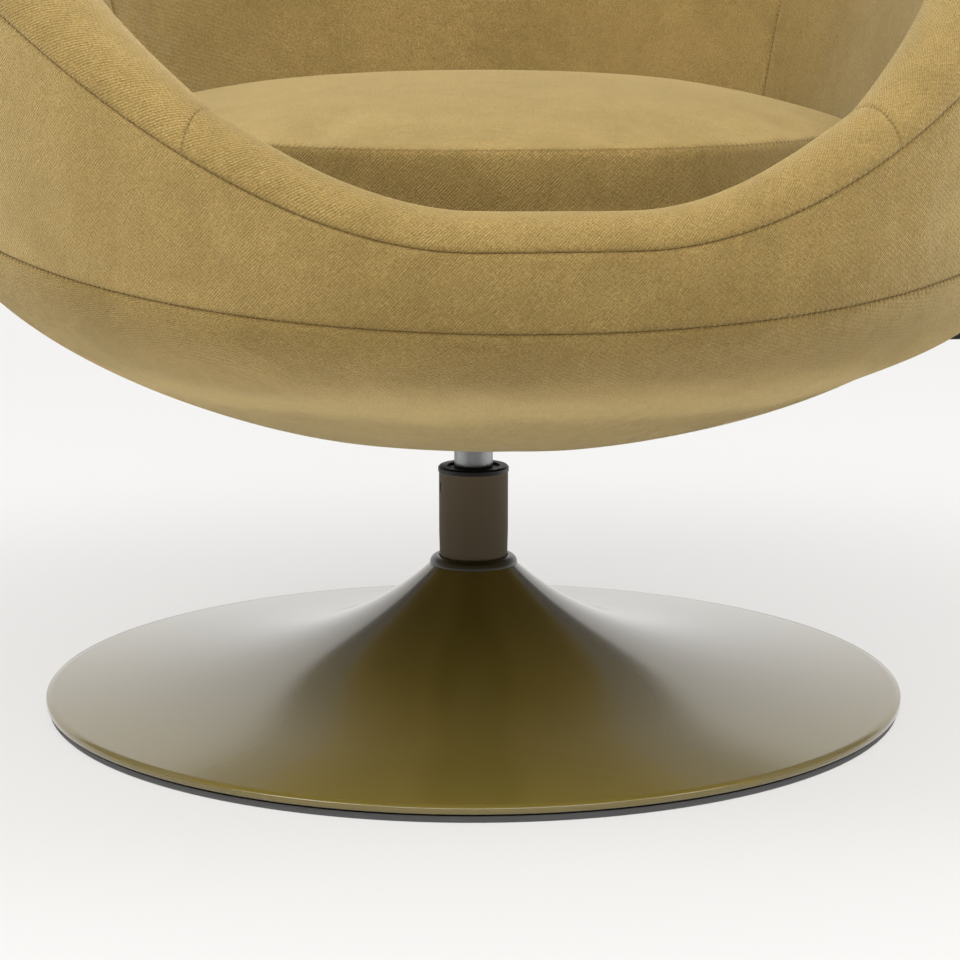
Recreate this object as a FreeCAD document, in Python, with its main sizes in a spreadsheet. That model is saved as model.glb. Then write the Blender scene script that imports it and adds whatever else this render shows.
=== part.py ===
import FreeCAD, Part
import math
import os
import Sketcher

# Swivel armchair: an upholstered tub on a gas lift column and a trumpet base.
# Millimetres. The origin is on the floor under the column, +Z is up and the chair faces -Y.

doc = FreeCAD.newDocument("swivel_armchair")
sheet = doc.addObject("Spreadsheet::Sheet", "sizes")

# Each row is a name, its value and what it measures.
SIZES = [
    # trumpet base
    ("base_radius", 310.0, "outer edge of the trumpet"),
    ("rim_height", 10.7, "top of the trumpet at its edge"),
    ("sheet_thickness", 4.0, "spun steel of the trumpet"),
    ("neck_radius", 31.7, "outside of the trumpet at its neck"),
    ("neck_height", 97.9, "top of the trumpet"),
    ("flare_share", 0.45, "share of the straight term in the flare"),
    ("flare_slow", 1.0, "power of the straight term in the flare"),
    ("flare_fast", 4.5, "power of the steep term in the flare"),
    ("ring_radius", 308.0, "outside of the floor ring"),
    ("ring_height", 4.6, "floor ring"),
    ("ring_inner_radius", 278.0, "inside of the floor ring"),
    ("ring_flange", 2.0, "floor ring under the ballast plate"),
    ("ring_chamfer", 1.5, "outer foot of the floor ring"),
    ("ballast_radius", 288.0, "steel ballast plate"),
    ("ballast_thickness", 6.4, "steel ballast plate"),
    ("ring_screw_count", 6.0, "screws up through the ring into the ballast"),
    ("ring_screw_circle", 282.5, "radius of their circle"),
    ("ring_screw_radius", 1.6, "shank of a ring screw"),
    ("ring_screw_length", 5.0, "shank of a ring screw above the ring"),
    # hub and column
    ("hub_wall", 3.0, "taper hub welded on the ballast plate"),
    ("hub_height", 97.0, "top of the taper hub"),
    ("collar_radius", 31.7, "bead at the neck"),
    ("collar_height", 6.1, "bead at the neck"),
    ("collar_edge", 1.2, "straight foot of the bead"),
    ("collar_lip", 1.2, "flat top of the bead beside the column"),
    ("collar_rounding", 0.9, "outer rounding of the bead, share of its height"),
    ("column_radius", 25.0, "outer column tube"),
    ("column_wall", 2.5, "outer column tube"),
    ("column_foot", 14.0, "underside of the column tube"),
    ("column_foot_radius", 22.4, "small end of the column taper"),
    ("taper_top", 122.0, "where the column taper ends"),
    ("column_top", 166.0, "top of the column tube"),
    ("window_width", 6.0, "latch window in the column"),
    ("window_height", 7.0, "latch window in the column"),
    ("window_level", 152.0, "lower edge of the latch windows"),
    ("window_turn", 13.0, "turn of the windows from the X axis, degrees"),
    ("bush_flange", 4.0, "bush above the column top"),
    ("bush_flange_radius", 25.6, "bush flange"),
    ("bush_recess_radius", 19.0, "recess in the bush flange"),
    ("bush_recess_depth", 1.5, "recess in the bush flange"),
    ("bush_chamfer", 1.2, "outer edge of the bush flange"),
    ("bush_fit", 0.5, "bush sleeve inside the column tube"),
    ("latch_depth", 0.6, "latches inside the face of the column"),
    ("latch_root", 4.0, "latches outside the bore of the bush"),
    ("foot_plate", 4.0, "plate crimped in the column foot"),
    # gas spring
    ("rod_radius", 5.0, "piston rod"),
    ("rod_tail", 4.5, "rod below the column foot"),
    ("clip_thickness", 1.2, "retaining clip"),
    ("clip_radius", 8.5, "retaining clip"),
    ("clip_groove", 1.0, "depth of the clip groove"),
    ("clip_play", 0.1, "retaining clip in its groove"),
    ("washer_radius", 15.0, "thrust washers"),
    ("washer_thickness", 1.5, "thrust washers"),
    ("bearing_thickness", 4.0, "caged thrust bearing"),
    ("bearing_radius", 14.0, "caged thrust bearing"),
    ("buffer_radius", 12.5, "rubber buffer"),
    ("buffer_height", 20.0, "rubber buffer"),
    ("buffer_bevel_height", 3.0, "bevel on top of the rubber buffer"),
    ("buffer_bevel_width", 2.0, "bevel on top of the rubber buffer"),
    ("cylinder_radius", 14.0, "gas cylinder"),
    ("cylinder_wall", 2.0, "gas cylinder"),
    ("cylinder_length", 206.0, "gas cylinder"),
    ("cylinder_end", 5.0, "closed end of the gas cylinder"),
    ("cone_length", 46.0, "taper on top of the gas cylinder"),
    ("cone_end_radius", 13.2, "small end of the cylinder taper"),
    ("cone_step", 1.2, "bore drawn in inside the taper"),
    ("cone_step_length", 6.0, "slope of that step"),
    ("gland_height", 10.0, "seal gland in the cylinder mouth"),
    ("piston_height", 10.0, "piston"),
    ("lift_travel", 70.0, "height adjustment"),
    ("piston_reserve", 6.0, "rod left above the gland at full height"),
    ("valve_height", 20.0, "valve body in the cylinder top"),
    ("release_pin_radius", 3.5, "release pin"),
    ("release_pin_rise", 6.0, "release pin above the cylinder"),
    ("release_pin_chamfer", 0.8, "top edge of the release pin"),
    # seat mechanism
    ("socket_radius", 18.5, "outside of the taper socket"),
    ("socket_drop", 6.0, "taper socket below the top of the cylinder"),
    ("channel_web", 2.5, "web and walls of the mechanism channel"),
    ("channel_half_width", 30.0, "mechanism channel, Y"),
    ("channel_back", 46.0, "mechanism channel behind the column, X"),
    ("channel_front", 66.0, "mechanism channel beyond the pivot, X"),
    ("lever_axis_drop", 27.0, "lever pivot under the mounting plate"),
    ("mount_plate_half", 95.0, "square mounting plate"),
    ("mount_plate_thickness", 3.0, "square mounting plate"),
    ("mount_plate_corner", 16.0, "corner of the mounting plate"),
    ("mount_bolt_half", 76.0, "half the spacing of the mounting bolts"),
    ("bolt_radius", 4.0, "M8 mounting bolt"),
    ("bolt_head_radius", 6.5, "M8 hexagon head"),
    ("bolt_head_height", 5.3, "M8 hexagon head"),
    ("bolt_end_gap", 1.0, "bolts below the top of the seat board"),
    ("tee_nut_radius", 11.0, "flange of a tee nut"),
    ("tee_nut_flange", 1.5, "flange of a tee nut"),
    ("tee_nut_barrel_radius", 5.0, "barrel of a tee nut"),
    ("tee_nut_barrel", 10.0, "barrel of a tee nut in the seat board"),
    ("pivot_offset", 45.0, "lever pivot from the column axis"),
    ("pivot_pin_radius", 3.0, "lever pivot pin"),
    ("pivot_head_radius", 5.0, "head of the lever pivot pin"),
    ("pivot_head_height", 2.5, "head of the lever pivot pin"),
    ("lever_radius", 4.0, "lever rod"),
    ("lever_reach", 336.0, "outer end of the lever rod, X"),
    ("lever_eye_radius", 7.0, "eye of the lever at its pivot"),
    ("lever_arm_half", 6.0, "flat arm of the lever, half its width"),
    ("lever_arm_nose", 8.0, "lever arm beyond the column axis"),
    ("grip_start", 314.0, "inner end of the lever grip, X"),
    ("grip_length", 74.0, "lever grip"),
    ("grip_width", 26.0, "lever grip"),
    ("grip_height", 12.0, "lever grip"),
    ("grip_rounding", 0.3, "rounded edges of the grip, share of its height"),
    # tub
    ("tub_half_width", 379.0, "lower seam at the sides"),
    ("tub_front", 410.0, "lower seam at the front"),
    ("tub_back", 385.0, "lower seam at the back"),
    ("tub_power", 2.21, "roundness of the plan outline"),
    ("seam_front_height", 319.5, "lower seam at the front"),
    ("seam_back_height", 465.0, "lower seam at the back"),
    ("bowl_bottom", 198.0, "lowest level of the bowl"),
    ("bowl_flat_radius", 96.0, "level middle of the bowl"),
    ("bowl_opening_radius", 46.0, "opening round the column"),
    ("bowl_slope", 0.356, "straight share of the bowl rise"),
    ("bowl_power", 1.89, "roundness of the bowl"),
    ("cover_thickness", 12.0, "foam and fabric outside the shell"),
    ("cavity_radius", 135.0, "cavity for the mechanism"),
    ("cavity_floor", 8.0, "bowl under the cavity"),
    ("cavity_wall", 24.0, "bowl at the foot of the cavity's wall"),
    ("lever_slot_width", 18.0, "lever slot through the bowl"),
    ("lever_slot_overlap", 10.0, "lever slot into the cavity"),
    ("lever_slot_reach", 292.0, "outer end of the lever slot, X"),
    ("lever_slot_drop", 8.0, "lever slot below the lever axis"),
    ("lever_slot_rise", 25.0, "lever slot above the lever axis"),
    ("floor_level", 286.0, "underside of the shell flange"),
    ("shell_thickness", 8.0, "moulded tub shell"),
    ("shell_top_gap", 1.0, "shell below the rim seam"),
    ("shell_flange", 7.0, "inward flange of the shell"),
    ("flange_width", 38.0, "inward flange of the shell"),
    ("board_thickness", 15.0, "plywood seat board"),
    ("board_edge_gap", 3.0, "seat board inside the shell"),
    ("rim_front_height", 388.0, "top of the rim at the front"),
    ("rim_arm_height", 596.0, "top of the arms"),
    ("rim_back_height", 765.0, "top of the back"),
    ("arm_start_angle", 6.5, "azimuth where the rim leaves the front, degrees"),
    ("arm_full_angle", 74.0, "azimuth where the arm is full height, degrees"),
    ("back_start_angle", 96.0, "azimuth where the rim rises to the back, degrees"),
    ("back_full_angle", 168.0, "azimuth where the back is full height, degrees"),
    ("rim_front_width", 44.0, "rolled rim at the front"),
    ("rim_arm_width", 84.0, "rolled rim on the arms"),
    ("rim_back_width", 98.0, "rolled rim on the back"),
    ("flare_front", 1.0, "rim outside the lower seam at the front"),
    ("flare_arm", 14.0, "rim outside the lower seam at the arms"),
    ("flare_back", 25.0, "rim outside the lower seam at the back"),
    ("band_crown", 0.03, "outward crown of the band, share of its height"),
    ("well_front_share", 0.844, "foot of the inner pads at the front, share of the lower seam"),
    ("well_side_share", 0.702, "foot of the inner pads at the sides, share of the lower seam"),
    ("well_back_share", 0.5584, "foot of the inner pads at the back, share of the lower seam"),
    ("well_power", 2.3, "roundness of the seat well"),
    ("inner_crown", 0.04, "inward crown of the inner pads, share of their height"),
    ("front_seam_angle", 30.0, "azimuth between the front and arm pads, degrees"),
    ("back_seam_angle", 120.0, "azimuth between the arm and back pads, degrees"),
    ("panel_trim_angle", 0.05, "each pad short of those azimuths, degrees"),
    # seat cushion
    ("cushion_gap", 4.0, "cushion from the inner pads"),
    ("cushion_side_height", 112.0, "side of the cushion"),
    ("cushion_crown", 26.0, "crown of the cushion above its sides"),
    ("cushion_draw", 9.0, "sides drawn in at the seams"),
    ("cushion_shoulder", 34.0, "shoulder of the cushion"),
    ("cushion_foot_draw", 6.0, "foot of the cushion inside its seams"),
    ("cushion_foot_round", 10.0, "height of the rounding at the foot"),
    ("cushion_seam_round", 12.0, "height of the rounding under the top seam"),
    # fits
    ("running_gap", 0.05, "radial gap of a running fit"),
    ("seat_gap", 0.2, "gap between pieces that rest on each other"),
    ("panel_gap", 0.4, "gap between upholstery panels"),
]

for row, (name, value, meaning) in enumerate(SIZES, start=1):
    sheet.set("A%d" % row, name)
    sheet.set("B%d" % row, str(value))
    sheet.setAlias("B%d" % row, name)
    sheet.set("C%d" % row, meaning)
doc.recompute()


class Length:
    """A size that keeps its formula for the sheet beside its value."""

    def __init__(self, value, formula):
        self.value = float(value)
        self.formula = formula

    def __add__(self, other):
        other = as_length(other)
        return Length(self.value + other.value, "(%s + %s)" % (self.formula, other.formula))

    def __sub__(self, other):
        other = as_length(other)
        return Length(self.value - other.value, "(%s - %s)" % (self.formula, other.formula))

    def __mul__(self, factor):
        return Length(self.value * factor, "(%s * %r)" % (self.formula, factor))

    def __neg__(self):
        return Length(-self.value, "(-%s)" % self.formula)


def as_length(number):
    """A plain number as a Length."""
    return number if isinstance(number, Length) else Length(number, repr(float(number)))


class Sheet:
    """Every named size as a Length, read from the sheet."""

    def __getattr__(self, name):
        return Length(sheet.get(name), "sizes." + name)


S = Sheet()
ZERO = as_length(0.0)
SUB_PARTS = []


def keep(label, thing):
    """Name a finished sub-part."""
    thing.Label = label
    SUB_PARTS.append(thing)
    return thing


def bind(thing, **formulas):
    """Set properties and tie them to the sheet."""
    for path, length in formulas.items():
        thing.setExpression(path.replace("__", "."), length.formula)


def lift(thing, x=ZERO, y=ZERO, z=ZERO):
    """Place an object by formulas from the sheet."""
    thing.Placement = FreeCAD.Placement(FreeCAD.Vector(x.value, y.value, z.value), thing.Placement.Rotation)
    for axis, length in (("x", x), ("y", y), ("z", z)):
        if length.formula != ZERO.formula:
            thing.setExpression("Placement.Base." + axis, length.formula)
    return thing


def plane_of(body, role):
    """One of a body's own origin planes."""
    return next(plane for plane in body.Origin.OriginFeatures if plane.Role == role)


def new_sketch(body, name, role):
    sketch = body.newObject("Sketcher::SketchObject", name)
    sketch.AttachmentSupport = [(plane_of(body, role), "")]
    sketch.MapMode = "FlatFace"
    return sketch


def pin_point(sketch, index, end, across, along):
    """Tie one end of an edge to its two formulas."""
    for kind, length, line in (("DistanceX", across, -2), ("DistanceY", along, -1)):
        if abs(length.value) < 1e-9:
            sketch.addConstraint(Sketcher.Constraint("PointOnObject", index, end, line))
        else:
            number = sketch.addConstraint(Sketcher.Constraint(kind, -1, 1, index, end, length.value))
            sketch.setExpression("Constraints[%d]" % number, length.formula)


def arc_between(start, end, radius, side):
    """Circle arc from start to end that bulges to the right of that line when side is 1."""
    chord = end - start
    normal = FreeCAD.Vector(chord.y, -chord.x, 0).normalize() * side
    drop = math.sqrt(radius ** 2 - (chord.Length / 2) ** 2)
    centre = (start + end) * 0.5 - normal * drop
    return Part.Arc(start, centre + normal * radius, end)


def draw_profile(sketch, points):
    """Closed outline of points (across, along) and, where a third entry stands, an arc to the next point."""
    count = len(points)
    vectors = [FreeCAD.Vector(point[0].value, point[1].value, 0) for point in points]
    starts = []
    for i, point in enumerate(points):
        start, end = vectors[i], vectors[(i + 1) % count]
        if len(point) == 2:
            index = sketch.addGeometry(Part.LineSegment(start, end))
            starts.append(1)
        else:
            radius, side = point[2]
            arc = arc_between(start, end, radius.value, side)
            index = sketch.addGeometry(arc)
            drawn = sketch.Geometry[index]
            starts.append(1 if drawn.StartPoint.distanceToPoint(start) < 1e-6 else 2)
    for i, point in enumerate(points):
        following = (i + 1) % count
        sketch.addConstraint(
            Sketcher.Constraint("Coincident", i, 3 - starts[i], following, starts[following])
        )
        pin_point(sketch, i, starts[i], point[0], point[1])
        if len(point) == 3:
            number = sketch.addConstraint(Sketcher.Constraint("Radius", i, point[2][0].value))
            sketch.setExpression("Constraints[%d]" % number, point[2][0].formula)


def turned(label, points, final=True):
    """A body turned about Z from an outline of (radius, height)."""
    body = doc.addObject("PartDesign::Body", label)
    sketch = new_sketch(body, label + "_profile", "XZ_Plane")
    draw_profile(sketch, points)
    turn = body.newObject("PartDesign::Revolution", label + "_turn")
    turn.Profile = sketch
    turn.ReferenceAxis = (sketch, ["V_Axis"])
    turn.Angle = 360
    return keep(label, body) if final else body


def ring_points(inner, outer, low, high):
    """Square section of a plain ring."""
    return [(inner, low), (outer, low), (outer, high), (inner, high)]


def draw_circle(sketch, across, along, radius):
    index = sketch.addGeometry(
        Part.Circle(FreeCAD.Vector(across.value, along.value, 0), FreeCAD.Vector(0, 0, 1), radius.value)
    )
    pin_point(sketch, index, 3, across, along)
    number = sketch.addConstraint(Sketcher.Constraint("Radius", index, radius.value))
    sketch.setExpression("Constraints[%d]" % number, radius.formula)


def padded(body, sketch, length, name, reverse=False):
    pad = body.newObject("PartDesign::Pad", name)
    pad.Profile = sketch
    pad.Length = length.value
    pad.setExpression("Length", length.formula)
    pad.Reversed = reverse
    return pad


def rounded_square(sketch, half, corner):
    """Square outline with round corners."""
    flat = half - corner
    out, inn = half, flat
    draw_profile(sketch, [
        (-inn, -out), (inn, -out, (corner, 1)), (out, -inn), (out, inn, (corner, 1)),
        (inn, out), (-inn, out, (corner, 1)), (-out, inn), (-out, -inn, (corner, 1)),
    ])


def cylinder(label, radius, height, final=True):
    thing = doc.addObject("Part::Cylinder", label)
    thing.Radius = radius.value
    thing.Height = height.value
    bind(thing, Radius=radius, Height=height)
    return keep(label, thing) if final else thing


def block(label, length, width, height):
    thing = doc.addObject("Part::Box", label)
    thing.Length, thing.Width, thing.Height = length.value, width.value, height.value
    bind(thing, Length=length, Width=width, Height=height)
    return thing


def joined(label, things):
    union = doc.addObject("Part::MultiFuse", label)
    union.Shapes = things
    return union


def cut_from(label, base, tool, final=True):
    cut = doc.addObject("Part::Cut", label)
    cut.Base = base
    cut.Tool = tool
    return keep(label, cut) if final else cut


# Trumpet base

def flare_height(radius):
    """Height of the trumpet's outer face at a radius."""
    u = (radius - S.neck_radius.value) / (S.base_radius.value - S.neck_radius.value)
    slow = S.flare_share.value * (1 - u) ** S.flare_slow.value
    fast = (1 - S.flare_share.value) * (1 - u) ** S.flare_fast.value
    return S.rim_height.value + (S.neck_height.value - S.rim_height.value) * (slow + fast)


def flare_faces(arc_count=4):
    """Points of the trumpet's outer face and its underside, two for each arc and one more."""
    outer, under = [], []
    neck, rim, gauge = S.neck_radius.value, S.base_radius.value, S.sheet_thickness.value
    step = 0.01
    for i in range(2 * arc_count + 1):
        radius = neck + (rim - neck) * (i / (2 * arc_count)) ** 1.6
        low, high = max(radius - step, neck), min(radius + step, rim)
        slope = (flare_height(high) - flare_height(low)) / (high - low)
        tilt = math.hypot(1, slope)
        height = flare_height(radius)
        outer.append(FreeCAD.Vector(radius, height, 0))
        under.append(FreeCAD.Vector(radius + gauge * slope / tilt, height - gauge / tilt, 0))
    return outer, under


def make_base_shell():
    body = doc.addObject("PartDesign::Body", "base_shell")
    sketch = new_sketch(body, "trumpet_profile", "XZ_Plane")
    outer, under = flare_faces()
    under.reverse()
    for points in (outer, under):
        for i in range(0, len(points) - 1, 2):
            sketch.addGeometry(Part.Arc(*points[i:i + 3]))
    sketch.addGeometry(Part.LineSegment(outer[-1], under[0]))
    sketch.addGeometry(Part.LineSegment(under[-1], outer[0]))
    turn = body.newObject("PartDesign::Revolution", "trumpet_turn")
    turn.Profile = sketch
    turn.ReferenceAxis = (sketch, ["V_Axis"])
    turn.Angle = 360
    keep("base_shell", body)


def make_base():
    make_base_shell()
    plate_top = S.ring_flange + S.ballast_thickness
    lip = S.ballast_radius + S.seat_gap
    turned("floor_ring", [
        (S.ring_inner_radius, ZERO), (S.ring_radius - S.ring_chamfer, ZERO), (S.ring_radius, S.ring_chamfer),
        (S.ring_radius, S.ring_height), (lip, S.ring_height), (lip, S.ring_flange),
        (S.ring_inner_radius, S.ring_flange),
    ])
    blank = cylinder("ballast_blank", S.ballast_radius, S.ballast_thickness, final=False)
    lift(blank, z=S.ring_flange)
    holes = []
    screws = []
    count = int(S.ring_screw_count.value)
    for i in range(count):
        turn = math.radians(360.0 / count * (i + 0.5))
        across, along = S.ring_screw_circle * math.cos(turn), S.ring_screw_circle * math.sin(turn)
        bore = S.ring_screw_radius + S.seat_gap
        hole = cylinder("ring_hole_%d" % i, bore, S.ring_screw_length, final=False)
        holes.append(lift(hole, across, along, S.ring_flange))
        screw = cylinder("ring_screw_%d" % i, S.ring_screw_radius, S.ring_screw_length, final=False)
        screws.append(lift(screw, across, along, S.ring_flange))
    cut_from("ballast_plate", blank, joined("ring_holes", holes))
    keep("ring_screws", joined("ring_screw_group", screws))
    return plate_top


PLATE_TOP = make_base()


# Hub and column

def column_outer_at(height):
    """Outside of the column tube at a height on its taper."""
    drop = (S.column_radius.value - S.column_foot_radius.value)
    share = (height.value - S.column_foot.value) / (S.taper_top.value - S.column_foot.value)
    text = "(sizes.column_foot_radius + (sizes.column_radius - sizes.column_foot_radius) * (%s - " \
        "sizes.column_foot) / (sizes.taper_top - sizes.column_foot))" % height.formula
    return Length(S.column_foot_radius.value + drop * share, text)


def bar_through_column(label, length, width, height, level):
    """Square bar through the column axis, turned to the windows."""
    bar = block(label, length, width, height)
    turn = math.radians(S.window_turn.value)
    half, side = length.value / 2, width.value / 2
    corner = FreeCAD.Vector(
        -half * math.cos(turn) + side * math.sin(turn),
        -half * math.sin(turn) - side * math.cos(turn),
        level.value,
    )
    bar.Placement = FreeCAD.Placement(corner, FreeCAD.Rotation(FreeCAD.Vector(0, 0, 1), S.window_turn.value))
    bar.setExpression("Placement.Base.z", level.formula)
    return bar


def make_column():
    fit = S.running_gap
    bore_low = column_outer_at(S.column_foot) + fit
    bore_high = column_outer_at(S.hub_height) + fit
    outside = bore_high + S.hub_wall
    turned("taper_hub", [
        (bore_low - S.hub_wall, PLATE_TOP), (outside, PLATE_TOP), (outside, S.hub_height),
        (bore_high, S.hub_height), (bore_low, S.column_foot), (bore_low - S.hub_wall, S.column_foot),
    ])
    collar_low = S.neck_height + S.seat_gap
    collar_high = collar_low + S.collar_height
    inside = S.column_radius + S.seat_gap
    turned("neck_collar", [
        (inside, collar_low), (S.collar_radius, collar_low),
        (S.collar_radius, collar_low + S.collar_edge, (S.collar_height * S.collar_rounding.value, 1)),
        (inside + S.collar_lip, collar_high), (inside, collar_high),
    ])
    tube = turned("column_blank", [
        (S.column_foot_radius - S.column_wall, S.column_foot), (S.column_foot_radius, S.column_foot),
        (S.column_radius, S.taper_top), (S.column_radius, S.column_top),
        (S.column_radius - S.column_wall, S.column_top), (S.column_radius - S.column_wall, S.taper_top),
    ], final=False)
    opening = bar_through_column(
        "window_cutter", S.column_radius * 2.2, S.window_width, S.window_height, S.window_level
    )
    cut_from("column_tube", tube, opening)

    foot_top = S.column_foot + S.foot_plate
    foot_radius = S.column_foot_radius - S.column_wall - S.seat_gap
    turned("column_foot_plate", ring_points(S.rod_radius + fit, foot_radius, S.column_foot, foot_top))

    bore = S.cylinder_radius + fit
    # The sleeve ends where the column's taper starts.
    sleeve = S.column_radius - S.column_wall - S.bush_fit
    flange_top = S.column_top + S.bush_flange
    sleeve_body = turned("bush_sleeve", [
        (bore, S.taper_top), (sleeve, S.taper_top),
        (sleeve, S.column_top), (S.bush_flange_radius, S.column_top),
        (S.bush_flange_radius, flange_top - S.bush_chamfer),
        (S.bush_flange_radius - S.bush_chamfer, flange_top),
        (S.bush_recess_radius, flange_top), (S.bush_recess_radius, flange_top - S.bush_recess_depth),
        (bore, flange_top - S.bush_recess_depth),
    ], final=False)
    latch = bar_through_column(
        "latch_bar", (S.column_radius - S.latch_depth) * 2, S.window_width - S.seat_gap * 2,
        S.window_height - S.seat_gap * 2, S.window_level + S.seat_gap,
    )
    core = cylinder("latch_core", bore + S.latch_root, S.column_top, final=False)
    latches = cut_from("latches", latch, core, final=False)
    keep("column_bush", joined("bush_with_latches", [sleeve_body, latches]))
    return foot_top


FOOT_TOP = make_column()


# Gas spring

def make_gas_spring():
    fit = S.running_gap
    gap = S.seat_gap
    bore = S.rod_radius + gap
    level = FOOT_TOP
    turned("lower_washer", ring_points(bore, S.washer_radius, level, level + S.washer_thickness))
    level = level + S.washer_thickness
    turned("thrust_bearing", ring_points(bore, S.bearing_radius, level, level + S.bearing_thickness))
    level = level + S.bearing_thickness + fit
    washer_top = level + S.washer_thickness
    turned("upper_washer", ring_points(S.rod_radius + fit, S.washer_radius, level, washer_top))
    level = washer_top
    turned("rubber_buffer", [
        (S.rod_radius + fit, level), (S.buffer_radius, level),
        (S.buffer_radius, level + S.buffer_height - S.buffer_bevel_height),
        (S.buffer_radius - S.buffer_bevel_width, level + S.buffer_height),
        (S.rod_radius + fit, level + S.buffer_height),
    ])
    cylinder_low = level + S.buffer_height + gap

    gland_top = cylinder_low + S.gland_height
    piston_low = gland_top + S.lift_travel + S.piston_reserve
    rod_low = S.column_foot - S.rod_tail
    rod_high = piston_low + S.piston_height
    clip_high = S.column_foot - gap
    clip_low = clip_high - S.clip_thickness
    neck = S.rod_radius - S.clip_groove
    groove_low, groove_high = clip_low - S.clip_play, clip_high + S.clip_play
    turned("piston_rod", [
        (ZERO, rod_low), (S.rod_radius, rod_low), (S.rod_radius, groove_low), (neck, groove_low),
        (neck, groove_high), (S.rod_radius, groove_high), (S.rod_radius, rod_high), (ZERO, rod_high),
    ])
    turned("retaining_clip", ring_points(neck + S.clip_play, S.clip_radius, clip_low, clip_high))
    wall = S.cylinder_radius - S.cylinder_wall
    turned("piston", ring_points(S.rod_radius + fit, wall - fit, piston_low, rod_high))

    cylinder_high = cylinder_low + S.cylinder_length
    cone_low = cylinder_high - S.cone_length
    cone_bore = wall - S.cone_step
    pin_hole = S.release_pin_radius + fit
    turned("gas_cylinder", [
        (wall, cylinder_low), (S.cylinder_radius, cylinder_low), (S.cylinder_radius, cone_low),
        (S.cone_end_radius, cylinder_high), (pin_hole, cylinder_high),
        (pin_hole, cylinder_high - S.cylinder_end), (cone_bore, cylinder_high - S.cylinder_end),
        (cone_bore, cone_low), (wall, cone_low - S.cone_step_length),
    ])
    turned("rod_gland", ring_points(S.rod_radius + fit, wall - fit, cylinder_low, gland_top))
    valve_high = cylinder_high - S.cylinder_end
    valve_low = valve_high - S.valve_height
    turned("valve_body", ring_points(pin_hole, cone_bore - fit, valve_low, valve_high))
    pin_top = cylinder_high + S.release_pin_rise
    turned("release_pin", [
        (ZERO, valve_low), (S.release_pin_radius, valve_low),
        (S.release_pin_radius, pin_top - S.release_pin_chamfer),
        (S.release_pin_radius - S.release_pin_chamfer, pin_top), (ZERO, pin_top),
    ])
    return cone_low, cylinder_high, pin_top


CONE_LOW, CYLINDER_HIGH, PIN_TOP = make_gas_spring()


# Seat mechanism

PLATE_HIGH = S.floor_level + S.shell_flange
PLATE_LOW = PLATE_HIGH - S.mount_plate_thickness
LEVER_AXIS = PLATE_LOW - S.lever_axis_drop


def cone_radius_at(height):
    """Outside of the cylinder taper at a height."""
    low, high = S.cylinder_radius, S.cone_end_radius
    share = (height.value - CONE_LOW.value) / (CYLINDER_HIGH.value - CONE_LOW.value)
    text = "(%s + (%s - %s) * (%s - %s) / (%s - %s))" % (
        low.formula, high.formula, low.formula, height.formula, CONE_LOW.formula,
        CYLINDER_HIGH.formula, CONE_LOW.formula,
    )
    return Length(low.value + (high.value - low.value) * share, text)


def make_mounting_plate():
    body = doc.addObject("PartDesign::Body", "mounting_plate")
    sketch = new_sketch(body, "plate_outline", "XY_Plane")
    rounded_square(sketch, S.mount_plate_half, S.mount_plate_corner)
    hole = S.bolt_radius + S.seat_gap
    for across in (-S.mount_bolt_half, S.mount_bolt_half):
        for along in (-S.mount_bolt_half, S.mount_bolt_half):
            draw_circle(sketch, across, along, hole)
    padded(body, sketch, S.mount_plate_thickness, "plate_pad")
    keep("mounting_plate", lift(body, z=PLATE_LOW))


def make_channel(web_low):
    """U-shaped channel under the plate that holds the socket and the lever pivot."""
    length = S.channel_back + S.channel_front
    height = PLATE_LOW - web_low
    outer = block("channel_outer", length, S.channel_half_width * 2, height)
    lift(outer, -S.channel_back, -S.channel_half_width, web_low)
    inner = block("channel_inner", length, (S.channel_half_width - S.channel_web) * 2, height)
    lift(inner, -S.channel_back, -(S.channel_half_width - S.channel_web), web_low + S.channel_web)
    bore = cylinder("socket_hole", S.socket_radius + S.running_gap, S.channel_web * 2, final=False)
    lift(bore, z=web_low - S.channel_web)
    pivot_bore = S.pivot_pin_radius + S.running_gap
    pivot = cylinder("pivot_hole", pivot_bore, S.channel_half_width * 2.4, final=False)
    pivot.Placement = FreeCAD.Placement(
        FreeCAD.Vector(0, 0, 0), FreeCAD.Rotation(FreeCAD.Vector(1, 0, 0), 90)
    )
    lift(pivot, S.pivot_offset, S.channel_half_width * 1.2, LEVER_AXIS)
    cut_from("mechanism_channel", outer, joined("channel_cuts", [inner, bore, pivot]))


def make_socket():
    """Socket on the cylinder taper, level with the channel's web on top."""
    low, high = CONE_LOW, CYLINDER_HIGH - S.socket_drop
    turned("taper_socket", [
        (cone_radius_at(low) + S.running_gap, low), (S.socket_radius, low), (S.socket_radius, high),
        (cone_radius_at(high) + S.running_gap, high),
    ])
    return high - S.channel_web


def make_pivot_pin():
    half = S.channel_half_width
    shank = cylinder("pivot_shank", S.pivot_pin_radius, half * 2 + S.pivot_head_height, final=False)
    head = cylinder("pivot_head", S.pivot_head_radius, S.pivot_head_height, final=False)
    for thing, start in ((shank, half + S.pivot_head_height), (head, half + S.pivot_head_height)):
        thing.Placement = FreeCAD.Placement(
            FreeCAD.Vector(0, 0, 0), FreeCAD.Rotation(FreeCAD.Vector(1, 0, 0), 90)
        )
        lift(thing, S.pivot_offset, start, LEVER_AXIS)
    keep("lever_pivot_pin", joined("pivot_pin_solid", [shank, head]))


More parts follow.
